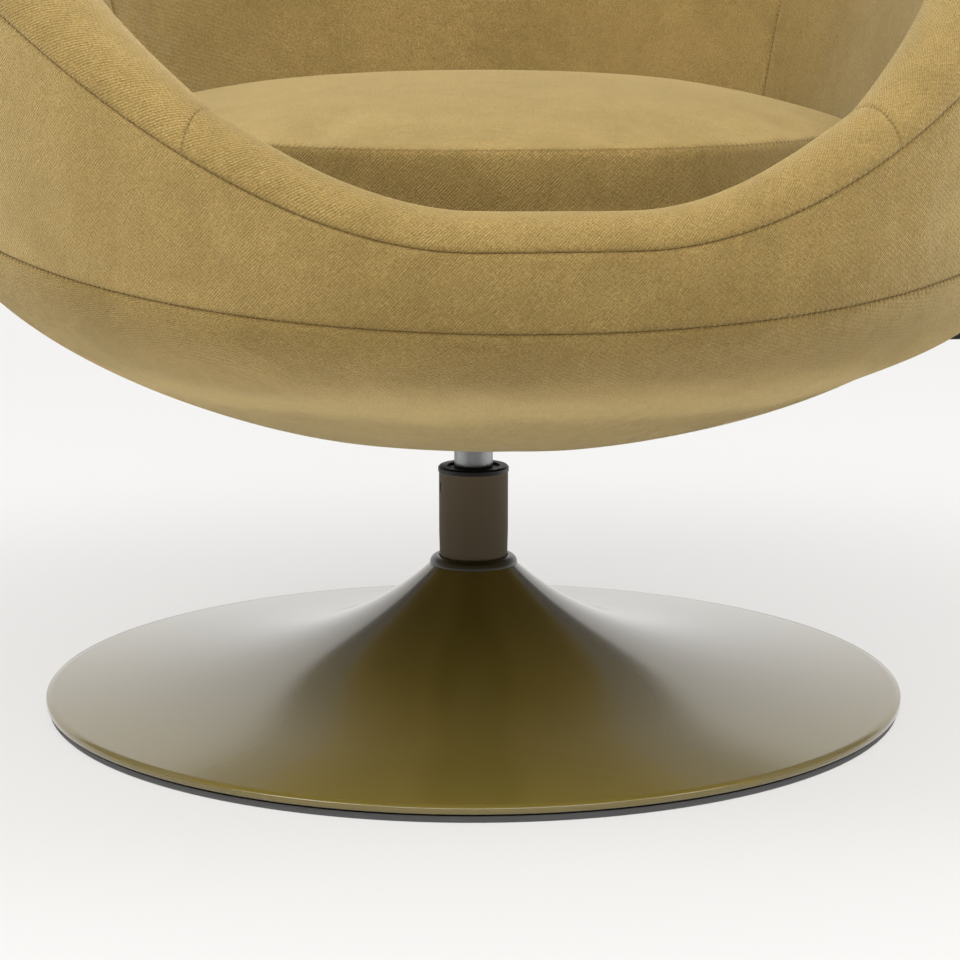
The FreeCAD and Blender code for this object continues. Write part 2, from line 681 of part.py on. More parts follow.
def make_lever():
    """Flat arm over the release pin, an eye on the pivot and a straight rod out to the grip."""
    half = S.lever_arm_half
    low = PIN_TOP + S.running_gap
    arm_height = (LEVER_AXIS - low) * 2
    arm = block("lever_arm", S.pivot_offset + S.lever_arm_nose, half * 2, arm_height)
    lift(arm, -S.lever_arm_nose, -half, low)
    across = FreeCAD.Rotation(FreeCAD.Vector(1, 0, 0), 90)
    eye = cylinder("lever_eye", S.lever_eye_radius, half * 2, final=False)
    eye.Placement = FreeCAD.Placement(FreeCAD.Vector(0, 0, 0), across)
    lift(eye, S.pivot_offset, half, LEVER_AXIS)
    rod = cylinder("lever_bar", S.lever_radius, S.lever_reach - S.pivot_offset, final=False)
    rod.Placement = FreeCAD.Placement(
        FreeCAD.Vector(0, 0, 0), FreeCAD.Rotation(FreeCAD.Vector(0, 1, 0), 90)
    )
    lift(rod, S.pivot_offset, ZERO, LEVER_AXIS)
    hole = cylinder("lever_eye_hole", S.pivot_pin_radius + S.running_gap, half * 4, final=False)
    hole.Placement = FreeCAD.Placement(FreeCAD.Vector(0, 0, 0), across)
    lift(hole, S.pivot_offset, half * 2, LEVER_AXIS)
    cut_from("lever_rod", joined("lever_solid", [arm, eye, rod]), hole)


def make_grip():
    body = doc.addObject("PartDesign::Body", "grip_blank")
    sketch = new_sketch(body, "grip_outline", "XY_Plane")
    half = S.grip_width * 0.5
    end = S.grip_start + S.grip_length
    draw_profile(sketch, [
        (S.grip_start, -half), (end - half, -half, (half, 1)), (end, ZERO, (half, 1)),
        (end - half, half), (S.grip_start, half),
    ])
    pad = padded(body, sketch, S.grip_height, "grip_pad")
    doc.recompute()
    rims = []
    for number, edge in enumerate(pad.Shape.Edges, start=1):
        if abs(edge.BoundBox.ZLength) < 1e-6 and edge.BoundBox.XMax > S.grip_start.value + 1:
            rims.append("Edge%d" % number)
    soft = body.newObject("PartDesign::Fillet", "grip_round")
    soft.Base = (pad, rims)
    rounding = S.grip_height * S.grip_rounding.value
    soft.Radius = rounding.value
    soft.setExpression("Radius", rounding.formula)
    body.Tip = soft
    lift(body, z=LEVER_AXIS - S.grip_height * 0.5)
    bore = cylinder(
        "grip_bore", S.lever_radius + S.running_gap, S.lever_reach - S.grip_start + S.seat_gap, final=False
    )
    bore.Placement = FreeCAD.Placement(
        FreeCAD.Vector(0, 0, 0), FreeCAD.Rotation(FreeCAD.Vector(0, 1, 0), 90)
    )
    lift(bore, S.grip_start, ZERO, LEVER_AXIS)
    return body, bore


def make_fasteners():
    """Four bolts up through the plate and four tee nuts in the seat board."""
    bolts, nuts = [], []
    board_high = PLATE_HIGH + S.board_thickness
    shank_length = S.mount_plate_thickness + S.board_thickness - S.bolt_end_gap
    nut_bore = S.bolt_radius + S.running_gap
    for i, (sx, sy) in enumerate(((1, 1), (1, -1), (-1, 1), (-1, -1))):
        across, along = S.mount_bolt_half * sx, S.mount_bolt_half * sy
        shank = cylinder("bolt_shank_%d" % i, S.bolt_radius, shank_length, final=False)
        lift(shank, across, along, PLATE_LOW)
        head = doc.addObject("Part::Prism", "bolt_head_%d" % i)
        head.Polygon = 6
        head.Circumradius = S.bolt_head_radius.value
        head.Height = S.bolt_head_height.value
        bind(head, Circumradius=S.bolt_head_radius, Height=S.bolt_head_height)
        lift(head, across, along, PLATE_LOW - S.bolt_head_height)
        bolts.append(joined("bolt_%d" % i, [shank, head]))
        flange = cylinder("nut_flange_%d" % i, S.tee_nut_radius, S.tee_nut_flange, final=False)
        lift(flange, across, along, board_high)
        barrel = cylinder("nut_barrel_%d" % i, S.tee_nut_barrel_radius, S.tee_nut_barrel, final=False)
        lift(barrel, across, along, board_high - S.tee_nut_barrel)
        nut = joined("nut_blank_%d" % i, [flange, barrel])
        bore = cylinder("nut_bore_%d" % i, nut_bore, S.board_thickness * 2, final=False)
        lift(bore, across, along, PLATE_HIGH)
        nuts.append(cut_from("nut_%d" % i, nut, bore, final=False))
    bolt_group = doc.addObject("Part::Compound", "bolt_group")
    bolt_group.Links = bolts
    keep("mounting_bolts", bolt_group)
    nut_group = doc.addObject("Part::Compound", "nut_group")
    nut_group.Links = nuts
    keep("tee_nuts", nut_group)


WEB_LOW = make_socket()
make_mounting_plate()
make_channel(WEB_LOW)
make_pivot_pin()
make_lever()
GRIP_BODY, GRIP_BORE = make_grip()
cut_from("lever_grip", GRIP_BODY, GRIP_BORE)
make_fasteners()


# Tub

TUB_SECTIONS = 36
BOWL_STEPS = (0.0, 0.25, 0.5, 0.68, 0.85, 0.94, 1.0)


def soft_step(value, start, end):
    """Smooth rise from 0 at start to 1 at end."""
    share = min(max((value - start) / (end - start), 0.0), 1.0)
    return share * share * (3 - 2 * share)


def oval(azimuth, half_width, front, back, power):
    """Distance from the axis to a rounded outline, azimuth 0 at the front."""
    along = math.cos(azimuth)
    reach = front if along > 0 else back
    return ((abs(math.sin(azimuth)) / half_width) ** power + (abs(along) / reach) ** power) ** (-1 / power)


def by_azimuth(azimuth, front, arm, back):
    """A value that goes from the front's to the arm's to the back's."""
    angle = abs(math.degrees(math.remainder(azimuth, 2 * math.pi)))
    to_arm = soft_step(angle, S.arm_start_angle.value, S.arm_full_angle.value)
    to_back = soft_step(angle, S.back_start_angle.value, S.back_full_angle.value)
    return front.value + (arm.value - front.value) * to_arm + (back.value - arm.value) * to_back


def lower_seam(azimuth):
    """Radius and height of the lower seam."""
    share = math.sin(azimuth / 2) ** 2
    rise = S.seam_back_height.value - S.seam_front_height.value
    radius = oval(azimuth, S.tub_half_width.value, S.tub_front.value, S.tub_back.value, S.tub_power.value)
    return radius, S.seam_front_height.value + rise * (1.23 * share - 0.23 * share ** 2)


def bowl_point(azimuth, share):
    """Point of the bowl from its level middle, share 0, to the lower seam, share 1."""
    radius, height = lower_seam(azimuth)
    slope, power = S.bowl_slope.value, S.bowl_power.value
    rise = slope * share + (1 - slope) * (1 - math.sqrt(max(0.0, 1 - share ** power)))
    flat, bottom = S.bowl_flat_radius.value, S.bowl_bottom.value
    return flat + (radius - flat) * share, bottom + (height - bottom) * rise


def bowl_radius_at(azimuth, height):
    """Radius of the bowl at a height."""
    low, high = 0.0, 1.0
    for _ in range(40):
        middle = (low + high) / 2
        if bowl_point(azimuth, middle)[1] < height:
            low = middle
        else:
            high = middle
    return bowl_point(azimuth, low)[0]


def rim_points(azimuth):
    """Outer seam point, top point and inner point of the rolled rim."""
    width = by_azimuth(azimuth, S.rim_front_width, S.rim_arm_width, S.rim_back_width)
    top = by_azimuth(azimuth, S.rim_front_height, S.rim_arm_height, S.rim_back_height)
    flare = by_azimuth(azimuth, S.flare_front, S.flare_arm, S.flare_back)
    outer = lower_seam(azimuth)[0] + flare
    level = top - width / 2
    return (outer, level), (outer - width / 2, top), (outer - width, level)


def well_radius(azimuth):
    """Foot of the inner pads."""
    side = S.tub_half_width.value * S.well_side_share.value
    front = S.tub_front.value * S.well_front_share.value
    back = S.tub_back.value * S.well_back_share.value
    return oval(azimuth, side, front, back, S.well_power.value)


def inner_face_middle(azimuth, level):
    """Middle of the inner face, crowned towards the sitter."""
    inner = rim_points(azimuth)[2]
    foot = well_radius(azimuth)
    crown = S.inner_crown.value * (inner[1] - level)
    return (inner[0] + foot) / 2 - crown, (inner[1] + level) / 2


def shell_foot(azimuth):
    """Outside of the shell at its flange."""
    return bowl_radius_at(azimuth, S.floor_level.value) - S.cover_thickness.value


def space(azimuth, point):
    radius, height = point
    return FreeCAD.Vector(radius * math.sin(azimuth), -radius * math.cos(azimuth), height)


def section(azimuth, path):
    """Closed wire in the plane of an azimuth from points and ("arc", middle, end) entries."""
    edges = []
    place = space(azimuth, path[0])
    for entry in path[1:]:
        if entry[0] == "arc":
            middle, end = space(azimuth, entry[1]), space(azimuth, entry[2])
            edges.append(Part.Arc(place, middle, end).toShape())
        else:
            end = space(azimuth, entry)
            edges.append(Part.makeLine(place, end))
        place = end
    edges.append(Part.makeLine(place, space(azimuth, path[0])))
    return Part.Wire(edges)


def ring_loft(path_at):
    """Closed ring through sections all the way round."""
    wires = [
        section(2 * math.pi * i / TUB_SECTIONS, path_at(2 * math.pi * i / TUB_SECTIONS))
        for i in range(TUB_SECTIONS)
    ]
    return Part.makeLoft(wires, True, True, True)


def span_loft(path_at, start, end):
    """Open loft between two azimuths in degrees, with the rings' own sections between them."""
    step = 360.0 / TUB_SECTIONS
    first, last = start + S.panel_trim_angle.value, end - S.panel_trim_angle.value
    between = [step * i for i in range(math.floor(first / step) + 1, math.ceil(last / step))]
    wires = []
    for angle in [first] + between + [last]:
        azimuth = math.radians(angle)
        wires.append(section(azimuth, path_at(azimuth)))
    return Part.makeLoft(wires, True, True, False)


def bowl_path(azimuth):
    """Bowl section: outer face, top edge at the seam, face against the shell and mechanism cavity."""
    outer = [bowl_point(azimuth, share) for share in BOWL_STEPS]
    radius, height = outer[-1]
    height -= S.panel_gap.value / 2
    outer[-1] = (radius, height)
    floor = S.floor_level.value - S.panel_gap.value
    opening, bottom = S.bowl_opening_radius.value, S.bowl_bottom.value
    path = [(opening, bottom), outer[0]]
    path += [("arc", outer[i + 1], outer[i + 2]) for i in range(0, len(outer) - 2, 2)]
    path += [
        (radius - S.cover_thickness.value, height),
        (shell_foot(azimuth) + S.panel_gap.value, floor),
        (S.cavity_radius.value, floor),
        (S.cavity_radius.value, bottom + S.cavity_wall.value),
        (opening, bottom + S.cavity_floor.value),
    ]
    return path


def band_path(azimuth):
    """Outer band from the lower seam to the rim seam."""
    radius, low = lower_seam(azimuth)
    outer, high = rim_points(azimuth)[0]
    low += S.panel_gap.value / 2
    high -= S.panel_gap.value
    cover = S.cover_thickness.value
    crown = S.band_crown.value * (high - low)
    return [
        (radius, low), ("arc", ((radius + outer) / 2 + crown, (low + high) / 2), (outer, high)),
        (outer - cover, high), (radius - cover, low),
    ]


def shell_lines(azimuth):
    """Outer face of the shell from its flange to its top."""
    radius, height = lower_seam(azimuth)
    outer, high = rim_points(azimuth)[0]
    cover = S.cover_thickness.value + S.panel_gap.value
    return [
        (shell_foot(azimuth), S.floor_level.value), (radius - cover, height),
        (outer - cover, high - S.shell_top_gap.value),
    ]


def shell_path(azimuth):
    foot, knee, top = shell_lines(azimuth)
    wall, flange = S.shell_thickness.value, S.flange_width.value
    above = S.floor_level.value + S.shell_flange.value
    share = S.shell_flange.value / (knee[1] - foot[1])
    inner_foot = foot[0] + (knee[0] - foot[0]) * share - wall
    return [
        foot, knee, top, (top[0] - wall, top[1]), (knee[0] - wall, knee[1]), (inner_foot, above),
        (foot[0] - flange, above), (foot[0] - flange, foot[1]),
    ]


BOARD_HIGH = PLATE_HIGH + S.board_thickness


def pad_path(azimuth):
    """Inner pad: rolled rim, crowned inner face, foot on the seat board and face against the shell."""
    foot, knee, top = shell_lines(azimuth)
    wall = S.shell_thickness.value + S.panel_gap.value
    level = BOARD_HIGH.value + S.seat_gap.value
    outer, crest, inner = rim_points(azimuth)
    turn = math.sqrt(0.5)
    half = (outer[0] - inner[0]) / 2
    share = (level - foot[1]) / (knee[1] - foot[1])
    if share < 1:
        low = (foot[0] + (knee[0] - foot[0]) * share - wall, level)
    else:
        low = (knee[0] - wall, level)
    return [
        outer,
        ("arc", (crest[0] + half * turn, outer[1] + half * turn), crest),
        ("arc", (crest[0] - half * turn, outer[1] + half * turn), inner),
        ("arc", inner_face_middle(azimuth, level), (well_radius(azimuth), level)),
        low,
        (knee[0] - wall, max(knee[1], level + S.shell_top_gap.value)),
        (top[0] - wall, outer[1]),
    ]


def feature(label, shape, final=True):
    thing = doc.addObject("Part::Feature", label)
    thing.Shape = shape
    return keep(label, thing) if final else thing


def make_tub():
    bowl = feature("bowl_blank", ring_loft(bowl_path), final=False)
    start = S.cavity_radius - S.lever_slot_overlap
    slot = block(
        "lever_slot", S.lever_slot_reach - start, S.lever_slot_width, S.lever_slot_drop + S.lever_slot_rise
    )
    lift(slot, start, S.lever_slot_width * -0.5, LEVER_AXIS - S.lever_slot_drop)
    cut_from("underside_pad", bowl, slot)
    feature("outer_band", ring_loft(band_path))
    feature("tub_shell", ring_loft(shell_path))
    front, back = S.front_seam_angle.value, S.back_seam_angle.value
    feature("front_pad", span_loft(pad_path, -front, front))
    feature("left_arm_pad", span_loft(pad_path, front, back))
    feature("back_pad", span_loft(pad_path, back, 360.0 - back))
    feature("right_arm_pad", span_loft(pad_path, 360.0 - back, 360.0 - front))


def make_seat_board():
    """Plywood oval inside the shell, with holes for the tee nuts."""
    low = PLATE_HIGH
    count = TUB_SECTIONS
    points = []
    for i in range(2 * count):
        azimuth = math.pi * i / count
        foot, knee, _ = shell_lines(azimuth)
        share = S.shell_flange.value / (knee[1] - foot[1])
        reach = foot[0] + (knee[0] - foot[0]) * share - S.shell_thickness.value - S.board_edge_gap.value
        points.append(space(azimuth, (reach, low.value)))
    edges = []
    for i in range(0, 2 * count, 2):
        edges.append(Part.Arc(points[i], points[i + 1], points[(i + 2) % (2 * count)]).toShape())
    outline = Part.Face(Part.Wire(edges))
    solid = outline.extrude(FreeCAD.Vector(0, 0, S.board_thickness.value))
    board = feature("board_blank", solid, final=False)
    holes = []
    for i, (sx, sy) in enumerate(((1, 1), (1, -1), (-1, 1), (-1, -1))):
        across, along = S.mount_bolt_half * sx, S.mount_bolt_half * sy
        hole = cylinder(
            "board_hole_%d" % i, S.tee_nut_barrel_radius + S.running_gap, S.board_thickness * 3, final=False
        )
        holes.append(lift(hole, across, along, PLATE_HIGH - S.board_thickness))
    cut_from("seat_board", board, joined("board_holes", holes))


def cushion_outline(height, inset, centre_share):
    """Closed outline of arcs at a height, inset from the inner pads."""
    level = BOARD_HIGH.value
    count = 24
    points = []
    for i in range(2 * count):
        azimuth = math.pi * i / count
        inner = rim_points(azimuth)[2]
        foot = well_radius(azimuth)
        share = min(max((height - level) / (inner[1] - level), 0.0), 1.0)
        reach = foot + (inner[0] - foot) * share
        reach -= 4 * S.inner_crown.value * (inner[1] - level) * share * (1 - share)
        reach = (reach - S.cushion_gap.value - inset) * centre_share
        points.append(FreeCAD.Vector(reach * math.sin(azimuth), -reach * math.cos(azimuth), height))
    edges = []
    for i in range(0, 2 * count, 2):
        edges.append(Part.Arc(points[i], points[i + 1], points[(i + 2) % (2 * count)]).toShape())
    return Part.Wire(edges)


def make_cushion():
    low = BOARD_HIGH.value + S.tee_nut_flange.value + S.seat_gap.value
    side, crown = S.cushion_side_height.value, S.cushion_crown.value
    draw, shoulder = S.cushion_draw.value, S.cushion_shoulder.value
    foot_round, seam_round = S.cushion_foot_round.value, S.cushion_seam_round.value
    top = low + side
    levels = [
        (low, draw + S.cushion_foot_draw.value, 1.0), (low + foot_round, draw * 0.4, 1.0),
        (low + side * 0.5, 0.0, 1.0), (top - seam_round, draw * 0.4, 1.0), (top, draw, 1.0),
        (top + crown * 0.45, shoulder, 1.0), (top + crown * 0.85, shoulder * 2.2, 0.92),
        (top + crown, shoulder * 2.2, 0.55),
    ]
    wires = [cushion_outline(*level) for level in levels]
    feature("seat_cushion", Part.makeLoft(wires, True, True, False))


make_tub()
make_seat_board()
make_cushion()


# Check and write

doc.recompute()
for thing in doc.Objects:
    if "Invalid" in thing.State or "Error" in thing.State:
        raise RuntimeError("%s did not compute: %s" % (thing.Label, thing.State))
os.makedirs("parts", exist_ok=True)
for thing in SUB_PARTS:
    shape = thing.Shape
    if shape.isNull() or not shape.isValid() or not shape.Solids:
        raise RuntimeError("%s has no valid solid" % thing.Label)
    shape.exportStep("parts/%s.step" % thing.Label)
print("wrote %d sub-parts" % len(SUB_PARTS))
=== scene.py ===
import math

import bmesh
import bpy
import numpy as np
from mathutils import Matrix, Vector, noise


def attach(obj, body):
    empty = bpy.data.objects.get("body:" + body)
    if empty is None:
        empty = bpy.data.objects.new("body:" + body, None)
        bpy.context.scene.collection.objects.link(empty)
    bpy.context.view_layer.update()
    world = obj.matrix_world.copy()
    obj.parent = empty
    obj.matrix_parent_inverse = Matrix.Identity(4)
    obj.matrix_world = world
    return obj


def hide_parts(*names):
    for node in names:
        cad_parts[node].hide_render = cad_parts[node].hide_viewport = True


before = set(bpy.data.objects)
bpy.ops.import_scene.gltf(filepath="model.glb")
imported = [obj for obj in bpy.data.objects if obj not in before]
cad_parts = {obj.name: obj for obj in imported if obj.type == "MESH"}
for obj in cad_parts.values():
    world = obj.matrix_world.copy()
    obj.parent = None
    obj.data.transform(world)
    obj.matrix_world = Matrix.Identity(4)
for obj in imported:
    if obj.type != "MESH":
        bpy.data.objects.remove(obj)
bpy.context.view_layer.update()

# Swivel armchair, in metres.
# Azimuth 0 is the front of the chair, -Y, and 90 degrees is its left side, +X.

FULL_TURN = 2 * math.pi

# Sizes of the tub, the same as the CAD model's.
TUB_SIDE, TUB_FRONT, TUB_BACK, TUB_POWER = 0.379, 0.410, 0.385, 2.21
SEAM_FRONT, SEAM_BACK = 0.3195, 0.465
BOWL_BOTTOM, BOWL_FLAT, BOWL_OPENING = 0.198, 0.096, 0.046
BOWL_SLOPE, BOWL_POWER = 0.356, 1.89
COVER = 0.012
CAVITY_RADIUS, CAVITY_FLOOR, CAVITY_WALL = 0.135, 0.008, 0.024
SHELL_LEVEL = 0.286
SHELL_WALL = 0.008
RIM_TOP = (0.388, 0.596, 0.765)
RIM_WIDTH = (0.044, 0.084, 0.098)
RIM_FLARE = (0.001, 0.014, 0.025)
ARM_TURN = (6.5, 74.0)
BACK_TURN = (96.0, 168.0)
BAND_CROWN, INNER_CROWN = 0.03, 0.04
WELL_SIDE, WELL_FRONT, WELL_BACK = 0.702 * TUB_SIDE, 0.844 * TUB_FRONT, 0.5584 * TUB_BACK
WELL_POWER = 2.3
PAD_FOOT = 0.3082
PANEL_GAP = 0.0004
FRONT_SEAM, BACK_SEAM = 30.0, 120.0
CUSHION_LOW, CUSHION_SIDE, CUSHION_CROWN = 0.3097, 0.112, 0.026
CUSHION_GAP = 0.004
CUSHION_TOP, CUSHION_MIDDLE = CUSHION_LOW + CUSHION_SIDE, CUSHION_LOW + CUSHION_SIDE / 2
LEVER_LEVEL = 0.263

# Sizes of the covers that only the scene has: the gap in a seam, the most that the cushion swells
# and how far its panels stay inside its outline.
SEAM_GAP = 0.0001
CUSHION_SWELL, CUSHION_INSET = 0.016, 0.012

# Cloth and seam coordinates run on by these lengths for each radian round the chair.
TUB_RUN, PAD_RUN, CUSHION_RUN = 0.385, 0.36, 0.3


def soft_step(value, start, end):
    """Smooth rise from 0 at start to 1 at end."""
    share = min(max((value - start) / (end - start), 0.0), 1.0)
    return share * share * (3 - 2 * share)


def oval(azimuth, side, front, back, power):
    """Distance from the axis to a rounded outline."""
    along = math.cos(azimuth)
    reach = front if along > 0 else back
    return ((abs(math.sin(azimuth)) / side) ** power + (abs(along) / reach) ** power) ** (-1 / power)


def degrees_from_front(azimuth):
    """Azimuth in degrees from -180 to 180."""
    return math.degrees(math.remainder(azimuth, FULL_TURN))


def by_azimuth(azimuth, values):
    """A value that goes from the front's to the arm's to the back's."""
    front, arm, back = values
    angle = abs(degrees_from_front(azimuth))
    to_arm, to_back = soft_step(angle, *ARM_TURN), soft_step(angle, *BACK_TURN)
    return front + (arm - front) * to_arm + (back - arm) * to_back


def lower_seam(azimuth):
    """Radius and height of the lower seam."""
    share = math.sin(azimuth / 2) ** 2
    radius = oval(azimuth, TUB_SIDE, TUB_FRONT, TUB_BACK, TUB_POWER)
    return radius, SEAM_FRONT + (SEAM_BACK - SEAM_FRONT) * (1.23 * share - 0.23 * share ** 2)


def bowl_point(azimuth, share):
    """Point of the bowl from its level middle, share 0, to the lower seam, share 1."""
    radius, height = lower_seam(azimuth)
    curve = 1 - math.sqrt(max(0.0, 1 - share ** BOWL_POWER))
    rise = BOWL_SLOPE * share + (1 - BOWL_SLOPE) * curve
    return BOWL_FLAT + (radius - BOWL_FLAT) * share, BOWL_BOTTOM + (height - BOWL_BOTTOM) * rise


def bowl_radius_at(azimuth, height):
    """Radius of the bowl at a height."""
    low, high = 0.0, 1.0
    for _ in range(30):
        middle = (low + high) / 2
        if bowl_point(azimuth, middle)[1] < height:
            low = middle
        else:
            high = middle
    return bowl_point(azimuth, low)[0]


def rim_points(azimuth):
    """Outer seam point, top point and inner point of the rolled rim."""
    width, top = by_azimuth(azimuth, RIM_WIDTH), by_azimuth(azimuth, RIM_TOP)
    outer = lower_seam(azimuth)[0] + by_azimuth(azimuth, RIM_FLARE)
    level = top - width / 2
    return (outer, level), (outer - width / 2, top), (outer - width, level)


def well_radius(azimuth):
    """Foot of the inner pads."""
    return oval(azimuth, WELL_SIDE, WELL_FRONT, WELL_BACK, WELL_POWER)


def inner_face_at(azimuth, height):
    """Radius of the inner pads at a height between the seat board and the rim."""
    inner = rim_points(azimuth)[2]
    foot = well_radius(azimuth)
    share = min(max((height - PAD_FOOT) / (inner[1] - PAD_FOOT), 0.0), 1.0)
    crown = 4 * INNER_CROWN * (inner[1] - PAD_FOOT) * share * (1 - share)
    return foot + (inner[0] - foot) * share - crown


def spot(azimuth, radius, height):
    """Point at a distance from the axis and a height."""
    return radius * math.sin(azimuth), -radius * math.cos(azimuth), height


# Meshes

def new_mesh(name, points, faces):
    mesh = bpy.data.meshes.new(name)
    mesh.from_pydata(points, [], faces)
    return mesh


def smooth(mesh):
    mesh.polygons.foreach_set("use_smooth", [True] * len(mesh.polygons))
    mesh.update()


def add_object(name, data):
    made = bpy.data.objects.new(name, data)
    bpy.context.scene.collection.objects.link(made)
    return made


def add_piece(name, mesh, material):
    mesh.materials.append(material)
    return add_object(name, mesh)


def face_outwards(mesh):
    work = bmesh.new()
    work.from_mesh(mesh)
    bmesh.ops.recalc_face_normals(work, faces=work.faces)
    work.to_mesh(mesh)
    work.free()


def set_coordinates(mesh, cloth, seam):
    """Weave and seam coordinates for every corner of every face."""
    for name, pairs in (("cloth", cloth), ("seam", seam)):
        layer = mesh.uv_layers.new(name=name)
        layer.data.foreach_set("uv", np.array(pairs, np.float32).ravel())


def even_azimuths(count):
    return [FULL_TURN * i / count for i in range(count)]


def ring_faces(turns, count):
    """Faces between closed rings of points, with the last ring joined to the first."""
    faces = []
    for i in range(turns):
        ring, following = i * count, (i + 1) % turns * count
        for j in range(count):
            after = (j + 1) % count
            faces.append((ring + j, following + j, following + after, ring + after))
    return faces


def ring_mesh(name, azimuths, section_at):
    """Closed ring through a closed section at every azimuth.

    A section is a list of (radius, height, cloth, seam).
    The last two are pairs of weave and seam coordinates in metres.
    """
    sections = [section_at(azimuth) for azimuth in azimuths]
    turns, count = len(azimuths), len(sections[0])
    points = []
    for azimuth, path in zip(azimuths, sections):
        points += [spot(azimuth, entry[0], entry[1]) for entry in path]
    mesh = new_mesh(name, points, ring_faces(turns, count))
    sections.append(section_at(azimuths[0] + FULL_TURN))
    marks = [sections[i + ahead][(j + along) % count] for i in range(turns) for j in range(count)
             for ahead, along in ((0, 0), (1, 0), (1, 1), (0, 1))]
    set_coordinates(mesh, [entry[2] for entry in marks], [entry[3] for entry in marks])
    face_outwards(mesh)
    smooth(mesh)
    return mesh


def turned_mesh(name, outline, turns):
    """Closed outline of (radius, height) turned about Z."""
    def section_at(azimuth):
        return [(radius, height, (azimuth * radius, height), (0.0, 1.0)) for radius, height in outline]

    return ring_mesh(name, even_azimuths(turns), section_at)


# Materials

class Nodes:
    """Shorthand for the nodes of a material or a world."""

    def __init__(self, owner):
        owner.use_nodes = True
        self.tree = owner.node_tree

    def node(self, kind, **settings):
        made = self.tree.nodes.new("ShaderNode" + kind)
        for key, value in settings.items():
            setattr(made, key, value)
        return made

    def link(self, source, target):
        self.tree.links.new(source, target)

    def feed(self, socket, value):
        if isinstance(value, bpy.types.NodeSocket):
            self.link(value, socket)
        else:
            socket.default_value = value

    def math(self, operation, first, second=0.0, third=0.0):
        made = self.node("Math", operation=operation)
        for socket, value in zip(made.inputs, (first, second, third)):
            self.feed(socket, value)
        return made.outputs[0]

    def parts(self, vector):
        made = self.node("SeparateXYZ")
        self.link(vector, made.inputs[0])
        return made.outputs

    def stretched(self, vector, scale):
        made = self.node("Mapping")
        self.link(vector, made.inputs["Vector"])
        made.inputs["Scale"].default_value = scale
        return made.outputs[0]

    def ripple(self, place, pitch):
        """Sine wave from 0 to 1 of a pitch."""
        wave = self.math("SINE", self.math("MULTIPLY", place, FULL_TURN / pitch))
        return self.math("MULTIPLY_ADD", wave, 0.5, 0.5)

    def fading(self, distance, rate):
        """Falls from 1 towards 0 over a distance, faster at a higher rate."""
        return self.math("POWER", 2.718, self.math("MULTIPLY", distance, -rate))

    def noise(self, vector, scale, detail=2.0, roughness=0.5, distortion=0.0):
        made = self.node("TexNoise")
        self.link(vector, made.inputs["Vector"])
        made.inputs["Scale"].default_value = scale
        made.inputs["Detail"].default_value = detail
        made.inputs["Roughness"].default_value = roughness
        made.inputs["Distortion"].default_value = distortion
        return made.outputs["Fac"]

    def ranged(self, value, low, high, to_low=0.0, to_high=1.0):
        made = self.node("MapRange", interpolation_type="SMOOTHSTEP")
        self.feed(made.inputs["Value"], value)
        ends = {"From Min": low, "From Max": high, "To Min": to_low, "To Max": to_high}
        for key, number in ends.items():
            made.inputs[key].default_value = number
        return made.outputs[0]

    def mix(self, share, first, second):
        """Mix of two colours, whose sockets are the mix node's seventh and eighth."""
        made = self.node("Mix", data_type="RGBA")
        for number, value in ((0, share), (6, first), (7, second)):
            self.feed(made.inputs[number], value)
        return made.outputs[2]

    def mix_shader(self, share, first, second):
        made = self.node("MixShader")
        for number, source in enumerate((share, first, second)):
            self.link(source, made.inputs[number])
        return made.outputs[0]

    def bump(self, height, strength, distance, normal=None):
        made = self.node("Bump")
        made.inputs["Strength"].default_value = strength
        made.inputs["Distance"].default_value = distance
        self.link(height, made.inputs["Height"])
        if normal is not None:
            self.link(normal, made.inputs["Normal"])
        return made.outputs["Normal"]


class MaterialNodes(Nodes):
    """The nodes of a new material."""

    def __init__(self, name):
        self.material = bpy.data.materials.new(name)
        super().__init__(self.material)
        self.shader = self.tree.nodes["Principled BSDF"]

    def set(self, **values):
        for key, value in values.items():
            self.feed(self.shader.inputs[key.replace("_", " ")], value)


def colour(red, green, blue):
    """Linear colour from the eight-bit values that a screen shows."""
    parts = []
    for value in (red, green, blue):
        share = value / 255
        parts.append(share / 12.92 if share <= 0.04045 else ((share + 0.055) / 1.055) ** 2.4)
    return (*parts, 1.0)


def toned(base, factor, lift=0.0):
    """The same colour paler or darker."""
    return [part * factor + lift for part in base[:3]] + [1.0]


TWILL_TURN = math.radians(-40.0)
TWILL_PITCH, YARN_PITCH, PUCKER_PITCH = 0.00135, 0.0026, 0.0035
# Colours of the painted shade and painted light on the velvet.
PAINTED_SHADE_COLOUR, PAINTED_LIGHT_COLOUR = colour(76, 60, 26), colour(205, 180, 124)


